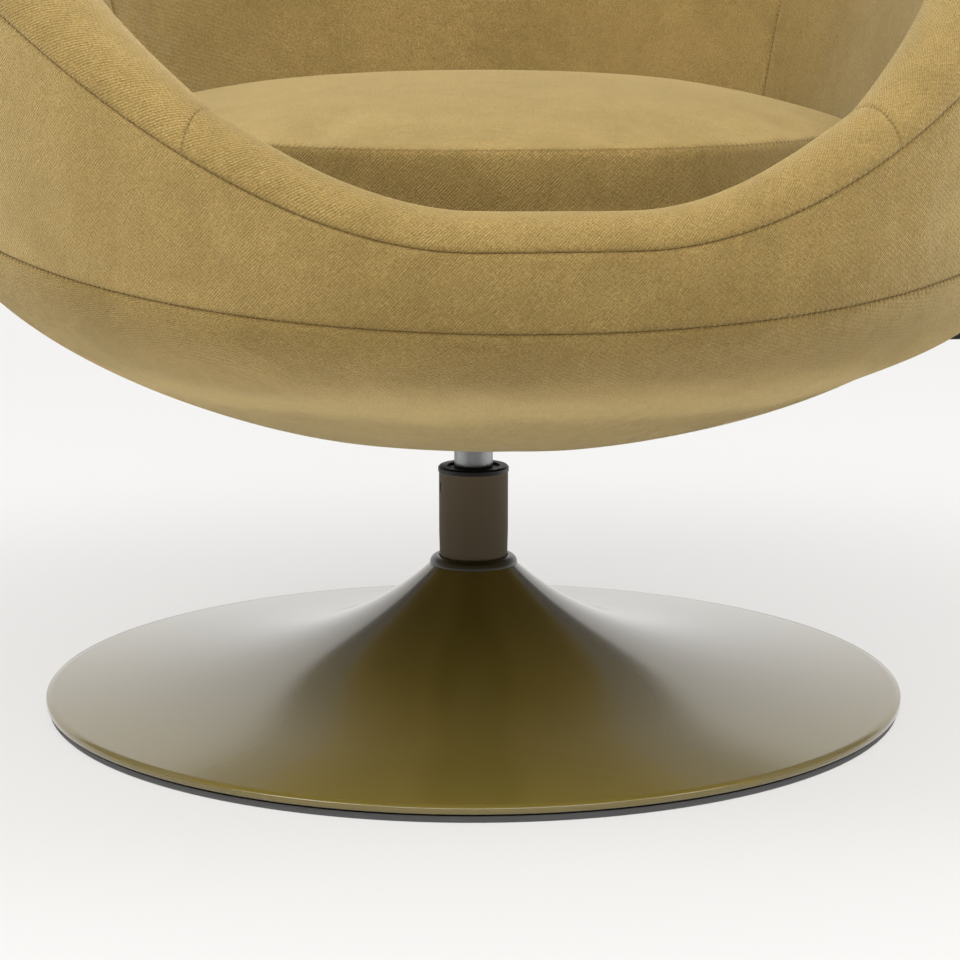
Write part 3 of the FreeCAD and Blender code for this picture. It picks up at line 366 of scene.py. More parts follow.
def velvet(name, bowl_painted_shade=0.0, band_painted_shade=0.0):
    """Napped cotton twill in olive: fine diagonal ribs, a mottled nap, puckers along the seams and
    painted shade in the seam grooves.

    Where the underside share is above 0, a band just below a seam is painted darker by that share, as
    painted shade, a band lower down is painted paler, as painted light from the floor, and the lowest
    part darker, as painted shade.
    Where the band share is above 0, painted shade darkens the band by that share towards the lower seam,
    and painted light makes it slightly paler on the chair's right.
    The shade below a seam and the shade towards the lower seam are both weaker on the chair's right.
    """
    n = MaterialNodes(name)
    place = n.node("TexCoord").outputs["Object"]
    cloth_u, cloth_v, _ = n.parts(n.node("UVMap", uv_map="cloth").outputs[0])
    seam_u, seam_v, _ = n.parts(n.node("UVMap", uv_map="seam").outputs[0])
    side, _, level = n.parts(place)

    wander = n.math("MULTIPLY", n.math("SUBTRACT", n.noise(place, 26.0, 2.0), 0.5), 0.0022)
    jitter = n.math("MULTIPLY", n.math("SUBTRACT", n.noise(place, 520.0, 2.0), 0.5), 0.0010)
    rib_place = n.math("ADD", n.math("MULTIPLY", cloth_u, math.cos(TWILL_TURN)),
                       n.math("MULTIPLY", cloth_v, math.sin(TWILL_TURN)))
    rib = n.ripple(n.math("ADD", n.math("ADD", rib_place, wander), jitter), TWILL_PITCH)
    yarn_place = n.math("SUBTRACT", n.math("MULTIPLY", cloth_v, math.cos(TWILL_TURN)),
                        n.math("MULTIPLY", cloth_u, math.sin(TWILL_TURN)))
    yarn = n.ripple(n.math("ADD", yarn_place, n.math("MULTIPLY", jitter, 1.6)), YARN_PITCH)
    worn = n.ranged(n.noise(place, 130.0, 3.0, 0.6), 0.32, 0.62, 0.45, 1.0)
    weave = n.math("MULTIPLY", rib, n.math("MULTIPLY_ADD", yarn, 0.35, 0.65))
    weave = n.math("MULTIPLY_ADD", n.math("SUBTRACT", weave, 0.41), worn, 0.41)
    fuzz = n.ranged(n.noise(place, 900.0, 2.0, 0.65), 0.36, 0.66)
    tuft = n.ranged(n.noise(place, 620.0, 1.0, 0.5), 0.60, 0.74)
    nap = n.ranged(n.noise(place, 13.0, 5.0, 0.6, 0.8), 0.36, 0.64)
    patch = n.ranged(n.noise(place, 60.0, 4.0, 0.62, 0.4), 0.34, 0.66)

    groove_shade = n.fading(seam_v, 1500.0)
    pucker = n.math("MULTIPLY", n.ripple(seam_u, PUCKER_PITCH), n.fading(seam_v, 620.0))

    base = n.mix(nap, colour(151, 128, 76), colour(168, 143, 88))
    base = n.mix(n.math("MULTIPLY", patch, 0.34), base, colour(178, 152, 97))
    shade = n.math("MULTIPLY_ADD", n.math("SUBTRACT", 1.0, weave), 0.56, n.math("MULTIPLY", fuzz, 0.42))
    base = n.mix(shade, base, colour(106, 84, 40))
    base = n.mix(n.math("MULTIPLY", tuft, 0.16), base, colour(196, 176, 128))
    if bowl_painted_shade:
        # Painted shade in a band below the seam, painted light from the floor lower down and painted
        # shade at the bottom.
        drift = n.math("MULTIPLY_ADD", n.noise(place, 14.0, 3.0), 0.05, -0.025)
        flat = n.ranged(n.math("ADD", seam_v, drift), 0.030, 0.056, 1.0, 0.0)
        flat = n.math("MULTIPLY", flat, n.ranged(side, -0.13, -0.04, 0.45, 1.0))
        base = n.mix(n.math("MULTIPLY", flat, bowl_painted_shade), base, PAINTED_SHADE_COLOUR)
        level = n.math("MULTIPLY_ADD", drift, 0.5, level)
        painted_bounce_light = n.math("MULTIPLY", n.ranged(level, 0.251, 0.263), n.ranged(level, 0.288, 0.268))
        base = n.mix(n.math("MULTIPLY", painted_bounce_light, 0.3), base, PAINTED_LIGHT_COLOUR)
        base = n.mix(n.ranged(level, 0.258, 0.242, 0.0, 0.12), base, PAINTED_SHADE_COLOUR)
    if band_painted_shade:
        # Painted shade towards the lower seam of the band, and painted light on the chair's right.
        drift = n.math("MULTIPLY_ADD", n.noise(place, 11.0, 3.0), 0.04, -0.02)
        lower = n.ranged(n.math("ADD", cloth_v, drift), 0.050, 0.002, 0.0, band_painted_shade)
        lower = n.math("MULTIPLY", lower, n.ranged(side, -0.24, -0.06, 0.1, 1.0))
        base = n.mix(n.math("MULTIPLY", n.ranged(side, -0.06, -0.24), 0.06), base, PAINTED_LIGHT_COLOUR)
        base = n.mix(lower, base, PAINTED_SHADE_COLOUR)
    # Painted shade in the seam grooves.
    base = n.mix(n.math("MULTIPLY", groove_shade, 0.7), base, colour(92, 70, 30))
    n.set(Base_Color=base, Roughness=n.ranged(patch, 0.0, 1.0, 0.82, 0.94))
    n.set(Sheen_Weight=0.6, Sheen_Roughness=0.36, Sheen_Tint=colour(246, 228, 180))
    n.set(Specular_IOR_Level=0.15)
    height = n.math("ADD", n.math("MULTIPLY", weave, 0.9), n.math("MULTIPLY", fuzz, 0.35))
    fine = n.bump(height, 0.9, 0.0005)
    soft = n.bump(n.noise(place, 55.0, 3.0, 0.55), 0.3, 0.0024, fine)
    n.set(Normal=n.bump(pucker, 0.5, 0.0010, soft))
    return n.material


def paint(name, base, rough, coat, shine=0.55, low_painted_light=0.0):
    """Satin paint on metal: a faint orange peel and slightly uneven gloss.

    Where the last share is above 0, the low, nearly level part of the trumpet is painted paler by up to
    that share, as painted light beside the shaded neck.
    """
    n = MaterialNodes(name)
    place = n.node("TexCoord").outputs["Object"]
    cloud = n.ranged(n.noise(place, 5.0, 2.0), 0.3, 0.7)
    tone = n.mix(n.math("MULTIPLY", cloud, 0.5), base, toned(base, 1.06))
    if low_painted_light:
        # Painted light: the low part of the trumpet is paler than the neck in the seat's shade.
        lit_low_part = n.ranged(n.parts(place)[2], 0.078, 0.030, 0.0, low_painted_light)
        tone = n.mix(lit_low_part, tone, colour(138, 122, 56))
    n.set(Base_Color=tone, Roughness=n.ranged(cloud, 0.0, 1.0, rough, rough + 0.025))
    n.set(Coat_Weight=coat, Coat_Roughness=0.12, Specular_IOR_Level=shine)
    n.set(Normal=n.bump(n.noise(place, 620.0, 2.0), 0.04, 0.0002))
    return n.material


def plastic(name, base, rough, grain=700.0, shine=0.45):
    """Moulded plastic with a fine spark-eroded grain and paler worn spots."""
    n = MaterialNodes(name)
    place = n.node("TexCoord").outputs["Object"]
    cloud = n.ranged(n.noise(place, 45.0, 4.0), 0.4, 0.7)
    tone = n.mix(n.math("MULTIPLY", cloud, 0.35), base, toned(base, 1.6, 0.004))
    n.set(Base_Color=tone, Roughness=n.ranged(cloud, 0.0, 1.0, rough, rough + 0.12))
    n.set(Specular_IOR_Level=shine)
    n.set(Normal=n.bump(n.noise(place, grain, 2.0), 0.15, 0.0002))
    return n.material


def steel(name, base, rough, stretch):
    """Drawn or ground steel: fine marks along or round the piece."""
    n = MaterialNodes(name)
    place = n.node("TexCoord").outputs["Object"]
    marks = n.noise(n.stretched(place, stretch), 60.0, 4.0, 0.6)
    cloud = n.noise(place, 22.0, 3.0)
    tone = n.mix(marks, toned(base, 0.82), base)
    rough_at = n.math("ADD", n.math("MULTIPLY", marks, 0.14), n.math("MULTIPLY", cloud, 0.12))
    n.set(Base_Color=tone, Metallic=0.92, Roughness=n.math("ADD", rough_at, rough))
    n.set(Normal=n.bump(marks, 0.12, 0.0002))
    return n.material


def plywood(name):
    """Birch plywood with long grain on its faces and darker glue lines at its edge."""
    n = MaterialNodes(name)
    place = n.node("TexCoord").outputs["Object"]
    stretch = n.stretched(place, (14.0, 1.0, 30.0))
    grain = n.ranged(n.noise(stretch, 9.0, 5.0, 0.6, 0.4), 0.3, 0.7)
    layers = n.node("TexWave", wave_type="BANDS", bands_direction="Z")
    n.link(place, layers.inputs["Vector"])
    layers.inputs["Scale"].default_value = 105.0
    tone = n.mix(grain, colour(205, 168, 120), colour(226, 196, 150))
    tone = n.mix(n.math("MULTIPLY", layers.outputs["Fac"], 0.3), tone, colour(150, 112, 70))
    n.set(Base_Color=tone, Roughness=n.ranged(grain, 0.0, 1.0, 0.55, 0.7))
    n.set(Normal=n.bump(grain, 0.2, 0.0004))
    return n.material


FABRIC = velvet("velvet_twill")
# Copies of the velvet with painted shade and painted light on the underside and on the band.
BOWL_FABRIC = velvet("velvet_twill_underside", bowl_painted_shade=0.27)
BAND_FABRIC = velvet("velvet_twill_band", band_painted_shade=0.26)
THREAD = plastic("seam_thread", colour(116, 92, 46), 0.8, 1400.0)
TRUMPET = paint("trumpet_paint", colour(90, 78, 33), 0.13, 0.7, low_painted_light=0.35)
# The trumpet's olive painted darker: painted shade at the neck under the seat.
SHADED_COLLAR = paint("collar_paint_shaded", colour(46, 40, 18), 0.3, 0.2)
COLUMN = paint("column_paint", colour(98, 86, 68), 0.6, 0.0, shine=0.2)
BLACK = plastic("black_plastic", colour(16, 15, 15), 0.38, shine=0.25)
RING = plastic("ring_plastic", colour(78, 78, 78), 0.55)
RUBBER = plastic("rubber", colour(24, 24, 24), 0.75)
SHELL = plastic("moulded_shell", colour(205, 198, 180), 0.6, 300.0)
GROUND = steel("ground_steel", colour(130, 132, 132), 0.2, (14.0, 14.0, 0.6))
ZINC = steel("zinc_steel", colour(200, 200, 196), 0.3, (3.0, 3.0, 3.0))
RAW = steel("raw_steel", colour(150, 148, 144), 0.4, (2.0, 9.0, 2.0))
DARK_STEEL = paint("black_steel", colour(30, 30, 32), 0.42, 0.1)
PLY = plywood("birch_plywood")

NODE_MATERIALS = {
    "ballast_plate": RAW, "ring_screws": ZINC, "taper_hub": RAW, "column_foot_plate": RAW,
    "column_tube": COLUMN, "column_bush": BLACK, "floor_ring": RING, "neck_collar": SHADED_COLLAR,
    "lower_washer": ZINC, "thrust_bearing": ZINC, "upper_washer": ZINC, "rubber_buffer": RUBBER,
    "piston_rod": GROUND, "retaining_clip": ZINC, "piston": ZINC, "gas_cylinder": GROUND,
    "rod_gland": BLACK, "valve_body": ZINC, "taper_socket": DARK_STEEL, "mechanism_channel": DARK_STEEL,
    "mounting_plate": DARK_STEEL, "mounting_bolts": ZINC, "tee_nuts": ZINC, "lever_pivot_pin": ZINC,
    "seat_board": PLY, "tub_shell": SHELL, "lever_rod": DARK_STEEL, "lever_grip": BLACK,
    "release_pin": ZINC,
}
for node, material in NODE_MATERIALS.items():
    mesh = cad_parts[node].data
    mesh.materials.clear()
    mesh.materials.append(material)


# Upholstery

def arc_lengths(path):
    """Running length along a list of (radius, height)."""
    lengths = [0.0]
    for before, after in zip(path, path[1:]):
        lengths.append(lengths[-1] + math.hypot(after[0] - before[0], after[1] - before[1]))
    return lengths


def pushed(path, amounts):
    """Each point of a path moved along its normal, to the right of the path."""
    moved = []
    for i, (radius, height) in enumerate(path):
        before, after = path[max(i - 1, 0)], path[min(i + 1, len(path) - 1)]
        run, rise = after[0] - before[0], after[1] - before[1]
        length = math.hypot(run, rise) or 1.0
        moved.append((radius + amounts[i] * rise / length, height - amounts[i] * run / length))
    return moved


def hump(value, place, width):
    """Smooth hump, 1 high at its place."""
    return math.exp(-((value - place) / width) ** 2)


def tuck(distance):
    """How deep a panel turns in at a distance from its seam, beside a slight ridge."""
    return 0.0009 * math.exp(-(distance / 0.0010) ** 1.3) - 0.0004 * hump(distance, 0.0042, 0.003)


def swell(azimuth, height, scale, size):
    """Slight unevenness of the stuffing."""
    place = Vector((math.sin(azimuth) * 0.4, math.cos(azimuth) * 0.4, height)) / scale
    return noise.noise(place) * size


def bowl_fullness(azimuth, radius, gap):
    """How far the stuffing stands out on the chair's left: a sag, and a fuller part below the seam."""
    angle = degrees_from_front(azimuth)
    sag = 0.0032 * hump(angle, 52, 45) * soft_step(radius, 0.05, 0.13) * soft_step(radius, 0.37, 0.25)
    full = 0.0080 * hump(angle, 56, 25) * soft_step(radius, 0.31, 0.38) * soft_step(gap, 0.0, 0.06)
    return sag + full


def bowl_section(azimuth):
    """Underside cover: level middle, bowl up to the lower seam and back round the mechanism cavity."""
    steps = 56
    shares = [1 - (1 - i / steps) ** 2.1 for i in range(steps + 1)]
    face = [bowl_point(azimuth, share) for share in shares]
    face[-1] = (face[-1][0], face[-1][1] - SEAM_GAP / 2)
    lengths = arc_lengths(face)
    inner_run = face[0][0]
    gaps = [lengths[-1] - length for length in lengths]
    amounts = [
        swell(azimuth, point[1], 0.13, 0.0012) * min(1.0, gap / 0.04) * min(1.0, length / 0.05)
        + bowl_fullness(azimuth, point[0], gap) - tuck(gap)
        for point, gap, length in zip(face, gaps, lengths)
    ]
    face = pushed(face, amounts)
    seam_u = azimuth * TUB_RUN

    def cloth_at(reach):
        return reach * math.sin(azimuth), reach * math.cos(azimuth)

    entries = [
        (BOWL_OPENING + 0.004, BOWL_BOTTOM + 0.006), (BOWL_OPENING + 0.0005, BOWL_BOTTOM + 0.003),
        (BOWL_OPENING + 0.0008, BOWL_BOTTOM + 0.001), (BOWL_OPENING + 0.003, BOWL_BOTTOM),
    ]
    entries += [(BOWL_OPENING + (BOWL_FLAT - BOWL_OPENING) * i / 6, BOWL_BOTTOM) for i in range(1, 6)]
    path = [(radius, height, cloth_at(radius), (seam_u, 1.0)) for radius, height in entries]
    for (radius, height), length, gap in zip(face, lengths, gaps):
        path.append((radius, height, cloth_at(inner_run + length), (seam_u, gap)))
    radius, height = face[-1]
    foot = bowl_radius_at(azimuth, SHELL_LEVEL) - COVER
    back = [
        (radius - 0.004, height + 0.0001), (radius - COVER + 0.0026, height),
        (foot + PANEL_GAP, SHELL_LEVEL - PANEL_GAP), (CAVITY_RADIUS, SHELL_LEVEL - PANEL_GAP),
        (CAVITY_RADIUS, BOWL_BOTTOM + CAVITY_WALL), (BOWL_OPENING + 0.006, BOWL_BOTTOM + CAVITY_FLOOR),
    ]
    cloth = path[-1][2]
    path += [(radius, height, cloth, (seam_u, 0.0)) for radius, height in back]
    return path


# Soft folds of the band: azimuth in degrees, width in degrees, depth in metres and place up the band.
BAND_FOLDS = (
    (10.9, 1.3, 0.0018, 0.75), (13.6, 1.4, -0.002, 0.7), (-28.0, 1.5, -0.0022, 0.5),
    (-25.2, 1.4, 0.0016, 0.45), (33.0, 1.8, 0.0012, 0.4), (-41.0, 1.8, 0.001, 0.5),
    (64.0, 2.0, -0.001, 0.3), (-80.0, 2.2, 0.0012, 0.6), (118.0, 2.2, -0.0012, 0.5),
    (-128.0, 2.1, 0.0012, 0.4), (161.0, 2.0, 0.0012, 0.6), (-165.0, 2.4, -0.001, 0.3),
)
FOLD_HEIGHT = 0.035


def band_section(azimuth):
    """Outer band: swollen face from the lower seam to the upper one and back against the shell."""
    radius, low = lower_seam(azimuth)
    outer, high = rim_points(azimuth)[0]
    low += SEAM_GAP / 2
    high -= SEAM_GAP
    steps = 44
    shares = [0.5 - 0.5 * math.cos(math.pi * i / steps) for i in range(steps + 1)]
    crown = BAND_CROWN * (high - low)
    face = []
    for share in shares:
        bulge = 4 * crown * share * (1 - share)
        face.append((radius + (outer - radius) * share + bulge, low + (high - low) * share))
    lengths = arc_lengths(face)
    gaps = [min(length, lengths[-1] - length) for length in lengths]
    angle = degrees_from_front(azimuth)
    beside = abs(math.remainder(azimuth - math.pi, FULL_TURN)) * radius
    sunk = tuck(beside) + 0.0012 * math.exp(-(beside / 0.014) ** 1.3)
    amounts = []
    for point, length, gap in zip(face, lengths, gaps):
        fold = 0.0
        for place, width, depth, middle in BAND_FOLDS:
            turn = (angle - place) / width
            drop = (length - lengths[-1] * middle) / FOLD_HEIGHT
            fold += depth * math.exp(-turn * turn - drop * drop)
        uneven = (swell(azimuth, point[1], 0.12, 0.0016) + fold) * min(1.0, gap / 0.03)
        amounts.append(uneven - tuck(gap) - sunk * min(1.0, gap / 0.01))
    face = pushed(face, amounts)
    seam_u = azimuth * TUB_RUN
    path = []
    for (r, z), length, gap in zip(face, lengths, gaps):
        seam = (length, beside) if beside < gap else (seam_u, gap)
        path.append((r, z, (azimuth * TUB_RUN, length), seam))
    (r0, z0), (r1, z1) = face[0], face[-1]
    back = [(r1 - 0.004, z1), (outer - COVER, z1), (radius - COVER, z0), (r0 - 0.004, z0)]
    path += [(r, z, (azimuth * TUB_RUN, 0.0), (seam_u, 0.0)) for r, z in back]
    return path


# Azimuths of the upright seams.
BAND_SEAMS = [math.pi]
PAD_SEAMS = [math.radians(angle) for angle in (FRONT_SEAM, BACK_SEAM, 360 - BACK_SEAM, 360 - FRONT_SEAM)]


def near_seam(azimuth, seams):
    """The angle from the nearest of the seams."""
    gaps = [math.remainder(azimuth - place, FULL_TURN) for place in seams]
    return min(gaps, key=abs)


def pad_section(azimuth):
    """Inner lining: rolled rim, inner face, foot on the seat board and back against the shell."""
    outer, crest, inner = rim_points(azimuth)
    half = (outer[0] - inner[0]) / 2
    rim_steps, face_steps = 36, 40
    face = []
    for i in range(rim_steps + 1):
        turn = math.pi * (1 - math.cos(math.pi / 2 * i / rim_steps))
        face.append((crest[0] + half * math.cos(turn), outer[1] + half * math.sin(turn)))
    for i in range(1, face_steps + 1):
        height = inner[1] + (PAD_FOOT - inner[1]) * i / face_steps
        face.append((inner_face_at(azimuth, height), height))
    lengths = arc_lengths(face)
    turn = near_seam(azimuth, PAD_SEAMS)
    amounts, seams = [], []
    for (radius, height), length in zip(face, lengths):
        beside = abs(turn) * radius
        deep = tuck(beside) + 0.0032 * math.exp(-(beside / 0.022) ** 1.2)
        low_fade = min(1.0, (height - PAD_FOOT) / 0.05)
        uneven = swell(azimuth, height, 0.12, 0.0022) * min(1.0, length / 0.03)
        amounts.append(uneven * low_fade - deep * min(1.0, length / 0.02) - tuck(length))
        seams.append((length, beside) if beside < length else (azimuth * TUB_RUN, length))
    face = pushed(face, amounts)
    face = [(radius, max(height, PAD_FOOT)) for radius, height in face]
    path = [(r, z, (azimuth * PAD_RUN, length), seam)
            for (r, z), length, seam in zip(face, lengths, seams)]
    knee_radius, knee_height = lower_seam(azimuth)
    cover = COVER + PANEL_GAP + SHELL_WALL + PANEL_GAP
    foot = bowl_radius_at(azimuth, SHELL_LEVEL) - COVER
    share = (PAD_FOOT - SHELL_LEVEL) / (knee_height - SHELL_LEVEL)
    low = foot + (knee_radius - COVER - PANEL_GAP - foot) * share - SHELL_WALL - PANEL_GAP
    back = [
        (low, PAD_FOOT), (knee_radius - cover, max(knee_height, PAD_FOOT + 0.001)),
        (outer[0] - cover, outer[1]), (face[0][0] - 0.004, outer[1]),
    ]
    path += [(r, z, (azimuth * PAD_RUN, 0.0), (0.0, 0.5)) for r, z in back]
    return path


def azimuths_with_seams(count, seams):
    """Azimuths all round, closer together beside the upright seams."""
    fine = [math.radians(step) for step in (0.0, 0.07, 0.15, 0.25, 0.42, 0.75, 1.25)]
    places = {round(place + side * step, 6) for place in seams for side in (-1, 1) for step in fine}
    for azimuth in even_azimuths(count):
        if abs(near_seam(azimuth, seams)) > math.radians(1.6):
            places.add(round(azimuth, 6))
    return sorted(places)


def add_cover(name, azimuths, section_at, material):
    return add_piece(name, ring_mesh(name, azimuths, section_at), material)


underside = add_cover("underside_cover", even_azimuths(300), bowl_section, BOWL_FABRIC)
band = add_cover("outer_band_cover", azimuths_with_seams(480, BAND_SEAMS), band_section, BAND_FABRIC)
lining = add_cover("inner_lining", azimuths_with_seams(300, PAD_SEAMS), pad_section, FABRIC)
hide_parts("underside_pad")
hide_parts("outer_band")
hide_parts("front_pad", "left_arm_pad", "back_pad", "right_arm_pad")
for piece in (underside, band, lining):
    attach(piece, "seat")


# The lever slot, cut from the cavity out past the bowl's side, and the binding round its edge.
SLOT_HALF, SLOT_LOW, SLOT_HIGH = 0.009, LEVER_LEVEL - 0.008, LEVER_LEVEL + 0.025
SLOT_START, SLOT_END = CAVITY_RADIUS - 0.01, 0.32
BINDING_RADIUS, BINDING_GAP = 0.0014, 0.0004


def slot_outline(half, steps=12):
    """Rounded slot as points (y, z), anticlockwise from its lower end."""
    low, high = SLOT_LOW + SLOT_HALF, SLOT_HIGH - SLOT_HALF
    lower = [(half * math.cos(turn), low + half * math.sin(turn))
             for turn in (math.pi + math.pi * i / steps for i in range(steps + 1))]
    upper = [(half * math.cos(turn), high + half * math.sin(turn))
             for turn in (math.pi * i / steps for i in range(steps + 1))]
    return lower + upper


def cut_lever_slot(cover):
    """Opening in the side of the bowl through which the release lever comes out."""
    outline = slot_outline(SLOT_HALF)
    count = len(outline)
    points = [(x, y, z) for x in (SLOT_START, SLOT_END) for y, z in outline]
    faces = [tuple(range(count))[::-1], tuple(range(count, 2 * count))]
    faces += [(i, (i + 1) % count, count + (i + 1) % count, count + i) for i in range(count)]
    mesh = new_mesh("slot_cutter", points, faces)
    face_outwards(mesh)
    cutter = add_object("slot_cutter", mesh)
    cut = cover.modifiers.new("slot", "BOOLEAN")
    cut.operation, cut.object, cut.solver = "DIFFERENCE", cutter, "EXACT"
    shaped = cover.evaluated_get(bpy.context.evaluated_depsgraph_get())
    opened = bpy.data.meshes.new_from_object(shaped)
    cover.modifiers.remove(cut)
    cover.data = opened
    bpy.data.objects.remove(cutter)
    opened.set_sharp_from_angle(angle=math.radians(50))


def tube_mesh(name, centres, outs, radius, around=8):
    """Closed loop of cord through the centres, with the way out at each."""
    count = len(centres)
    points, cloth = [], []
    length = 0.0
    for i, (centre, out) in enumerate(zip(centres, outs)):
        ahead = (centres[(i + 1) % count] - centres[i - 1]).normalized()
        side = ahead.cross(out).normalized()
        for j in range(around):
            turn = FULL_TURN * j / around
            points.append(tuple(centre + (out * math.sin(turn) + side * math.cos(turn)) * radius))
            cloth.append((length, radius * turn))
        length += (centres[(i + 1) % count] - centre).length
    faces = ring_faces(count, around)
    mesh = new_mesh(name, points, faces)
    corners = [cloth[number] for face in faces for number in face]
    set_coordinates(mesh, corners, [(0.0, 0.05)] * len(corners))
    face_outwards(mesh)
    smooth(mesh)
    return mesh


def bind_lever_slot():
    """Sewn binding round the edge of the lever slot."""
    centres, outs = [], []
    for y, z in slot_outline(SLOT_HALF + BINDING_GAP, 10):
        azimuth = math.pi / 2
        for _ in range(3):
            radius = bowl_radius_at(azimuth, z)
            azimuth = math.pi / 2 + math.asin(y / radius)
        centres.append(Vector((math.sqrt(radius ** 2 - y ** 2), y, z)))
        above = bowl_radius_at(azimuth, z + 0.002)
        outs.append(Vector((0.002, 0.0, radius - above)).normalized())
        centres[-1] += outs[-1] * bowl_fullness(azimuth, radius, 0.1)
    mesh = tube_mesh("slot_binding", centres, outs, BINDING_RADIUS)
    binding = add_piece("slot_binding", mesh, FABRIC)
    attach(binding, "seat")


cut_lever_slot(underside)
bind_lever_slot()


def cushion_reach(azimuth, height):
    """Outline of the seat cushion at a height."""
    return inner_face_at(azimuth, height) - CUSHION_GAP


def cushion_mesh(name, cells=64, side_cells=16):
    """Boxed cushion as a stretched cube grid: top and bottom panels joined by a side strip."""
    even = [2 * i / cells - 1 for i in range(cells + 1)]
    ticks = [0.35 * math.sin(math.pi / 2 * math.sin(math.pi / 2 * t)) + 0.65 * t for t in even]
    points, seam_marks, index = [], [], {}

    def panel_point(a, b, level, crown):
        across, along = a * math.sqrt(1 - b * b / 2), b * math.sqrt(1 - a * a / 2)
        share = min(1.0, math.hypot(across, along))
        azimuth = math.atan2(across, -along)
        reach = (cushion_reach(azimuth, CUSHION_MIDDLE) - CUSHION_INSET) * share
        height = level + crown * (0.55 * (1 - share ** 2) + 0.45 * math.sqrt(1 - share ** 14))
        return spot(azimuth, reach, height)

    for layer in range(side_cells + 1):
        level = CUSHION_LOW + 0.004 + (CUSHION_SIDE - 0.006) * layer / side_cells
        ends = layer in (0, side_cells)
        for i in range(cells + 1):
            for j in range(cells + 1):
                edge = i in (0, cells) or j in (0, cells)
                if not (ends or edge):
                    continue
                crown = CUSHION_CROWN * 0.8 if layer == side_cells else 0.0
                index[(i, j, layer)] = len(points)
                points.append(panel_point(ticks[i], ticks[j], level, crown))
                seam_marks.append(edge and ends)
    faces = []
    for layer in (0, side_cells):
        for i in range(cells):
            for j in range(cells):
                corners = [(i, j), (i + 1, j), (i + 1, j + 1), (i, j + 1)]
                faces.append([index[(*corner, layer)] for corner in corners])
    border = [(i, 0) for i in range(cells)] + [(cells, j) for j in range(cells)]
    border += [(i, cells) for i in range(cells, 0, -1)] + [(0, j) for j in range(cells, 0, -1)]
    for layer in range(side_cells):
        for here, there in zip(border, border[1:] + border[:1]):
            faces.append([index[(*here, layer)], index[(*there, layer)],
                          index[(*there, layer + 1)], index[(*here, layer + 1)]])
    mesh = new_mesh(name, points, faces)
    face_outwards(mesh)
    smooth(mesh)
    return mesh, seam_marks


def vertex_places(mesh):
    return np.array([tuple(vertex.co) for vertex in mesh.vertices])


def inflate(piece, pinned, cap, pressure=4.0, frames=20):
    """Cloth simulation of the stuffing, with the seams held and every point kept within a cap."""
    scene = bpy.context.scene
    rest = vertex_places(piece.data)
    group = piece.vertex_groups.new(name="held")
    group.add([i for i, held in enumerate(pinned) if held], 1.0, "REPLACE")
    cloth = piece.modifiers.new("cloth", "CLOTH")
    settings = cloth.settings
    settings.quality = 6
    settings.mass = 0.3
    settings.tension_stiffness = 25
    settings.compression_stiffness = 25
    settings.shear_stiffness = 10
    settings.bending_stiffness = 0.6
    settings.use_pressure = True
    settings.uniform_pressure_force = pressure
    settings.vertex_group_mass = "held"
    settings.effector_weights.gravity = 0.0
    cloth.point_cache.frame_start, cloth.point_cache.frame_end = 1, frames
    for number in range(1, frames + 1):
        scene.frame_set(number)
    shaped = piece.evaluated_get(bpy.context.evaluated_depsgraph_get())
    moved = vertex_places(shaped.data)
    piece.modifiers.remove(cloth)
    piece.vertex_groups.remove(group)
    scene.frame_set(1)
    step = moved - rest
    length = np.linalg.norm(step, axis=1, keepdims=True)
    step *= np.minimum(1.0, cap / np.maximum(length, 1e-9))
    return rest + step


def fitted_cushion(points):
    """Keep every point off the inner pads and the seat board."""
    for point in points:
        azimuth = math.atan2(point[0], -point[1])
        reach = math.hypot(point[0], point[1])
        limit = cushion_reach(azimuth, point[2]) + 0.0025
        if reach > limit:
            point[0] *= limit / reach
            point[1] *= limit / reach
        point[2] = max(point[2], CUSHION_LOW)
    return points


def make_cushion():
    mesh, seam_marks = cushion_mesh("seat_cushion_cover")
    piece = add_piece("seat_cushion_cover", mesh, FABRIC)
    points = inflate(piece, seam_marks, CUSHION_SWELL)
    points = fitted_cushion(points)
    mesh.vertices.foreach_set("co", points.ravel())
    mesh.update()
    cloth, seam = [], []
    for face in mesh.polygons:
        flat = abs(face.normal.z) > 0.55
        for number in face.vertices:
            x, y, z = mesh.vertices[number].co
            azimuth = math.atan2(x, -y)
            cloth.append((x, y) if flat else (azimuth * CUSHION_RUN, z))
            reach = cushion_reach(azimuth, CUSHION_MIDDLE) - CUSHION_INSET
            inset = max(0.0, reach - math.hypot(x, y))
            gap = math.hypot(inset, CUSHION_TOP - z if z > CUSHION_MIDDLE else z - CUSHION_LOW)
            seam.append((azimuth * CUSHION_RUN, max(0.0, gap - 0.002)))
    set_coordinates(mesh, cloth, seam)
    subdivision = piece.modifiers.new("smooth", "SUBSURF")
    subdivision.levels = subdivision.render_levels = 1
    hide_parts("seat_cushion")
    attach(piece, "seat")


make_cushion()


STITCH_PITCH, STITCH_LENGTH, STITCH_THICKNESS = 0.0035, 0.0026, 0.0006
STITCH_DEPTH, STITCH_TILT = 0.0014, 0.9


def upper_seam(azimuth):
    """Radius and height of the upper seam."""
    outer, level = rim_points(azimuth)[0]
    return outer, level - PANEL_GAP / 2


def stitch_azimuths(seam_at):
    """Azimuths that space stitches evenly along a seam."""
    fine = 2400
    azimuths = [FULL_TURN * i / fine for i in range(fine + 1)]
    places = [Vector(spot(azimuth, *seam_at(azimuth))) for azimuth in azimuths]
    lengths = [0.0]
    for before, after in zip(places, places[1:]):
        lengths.append(lengths[-1] + (after - before).length)
    count = round(lengths[-1] / STITCH_PITCH)
    wanted = [lengths[-1] * (i + 0.5) / count for i in range(count)]
    return list(np.interp(wanted, lengths, azimuths))


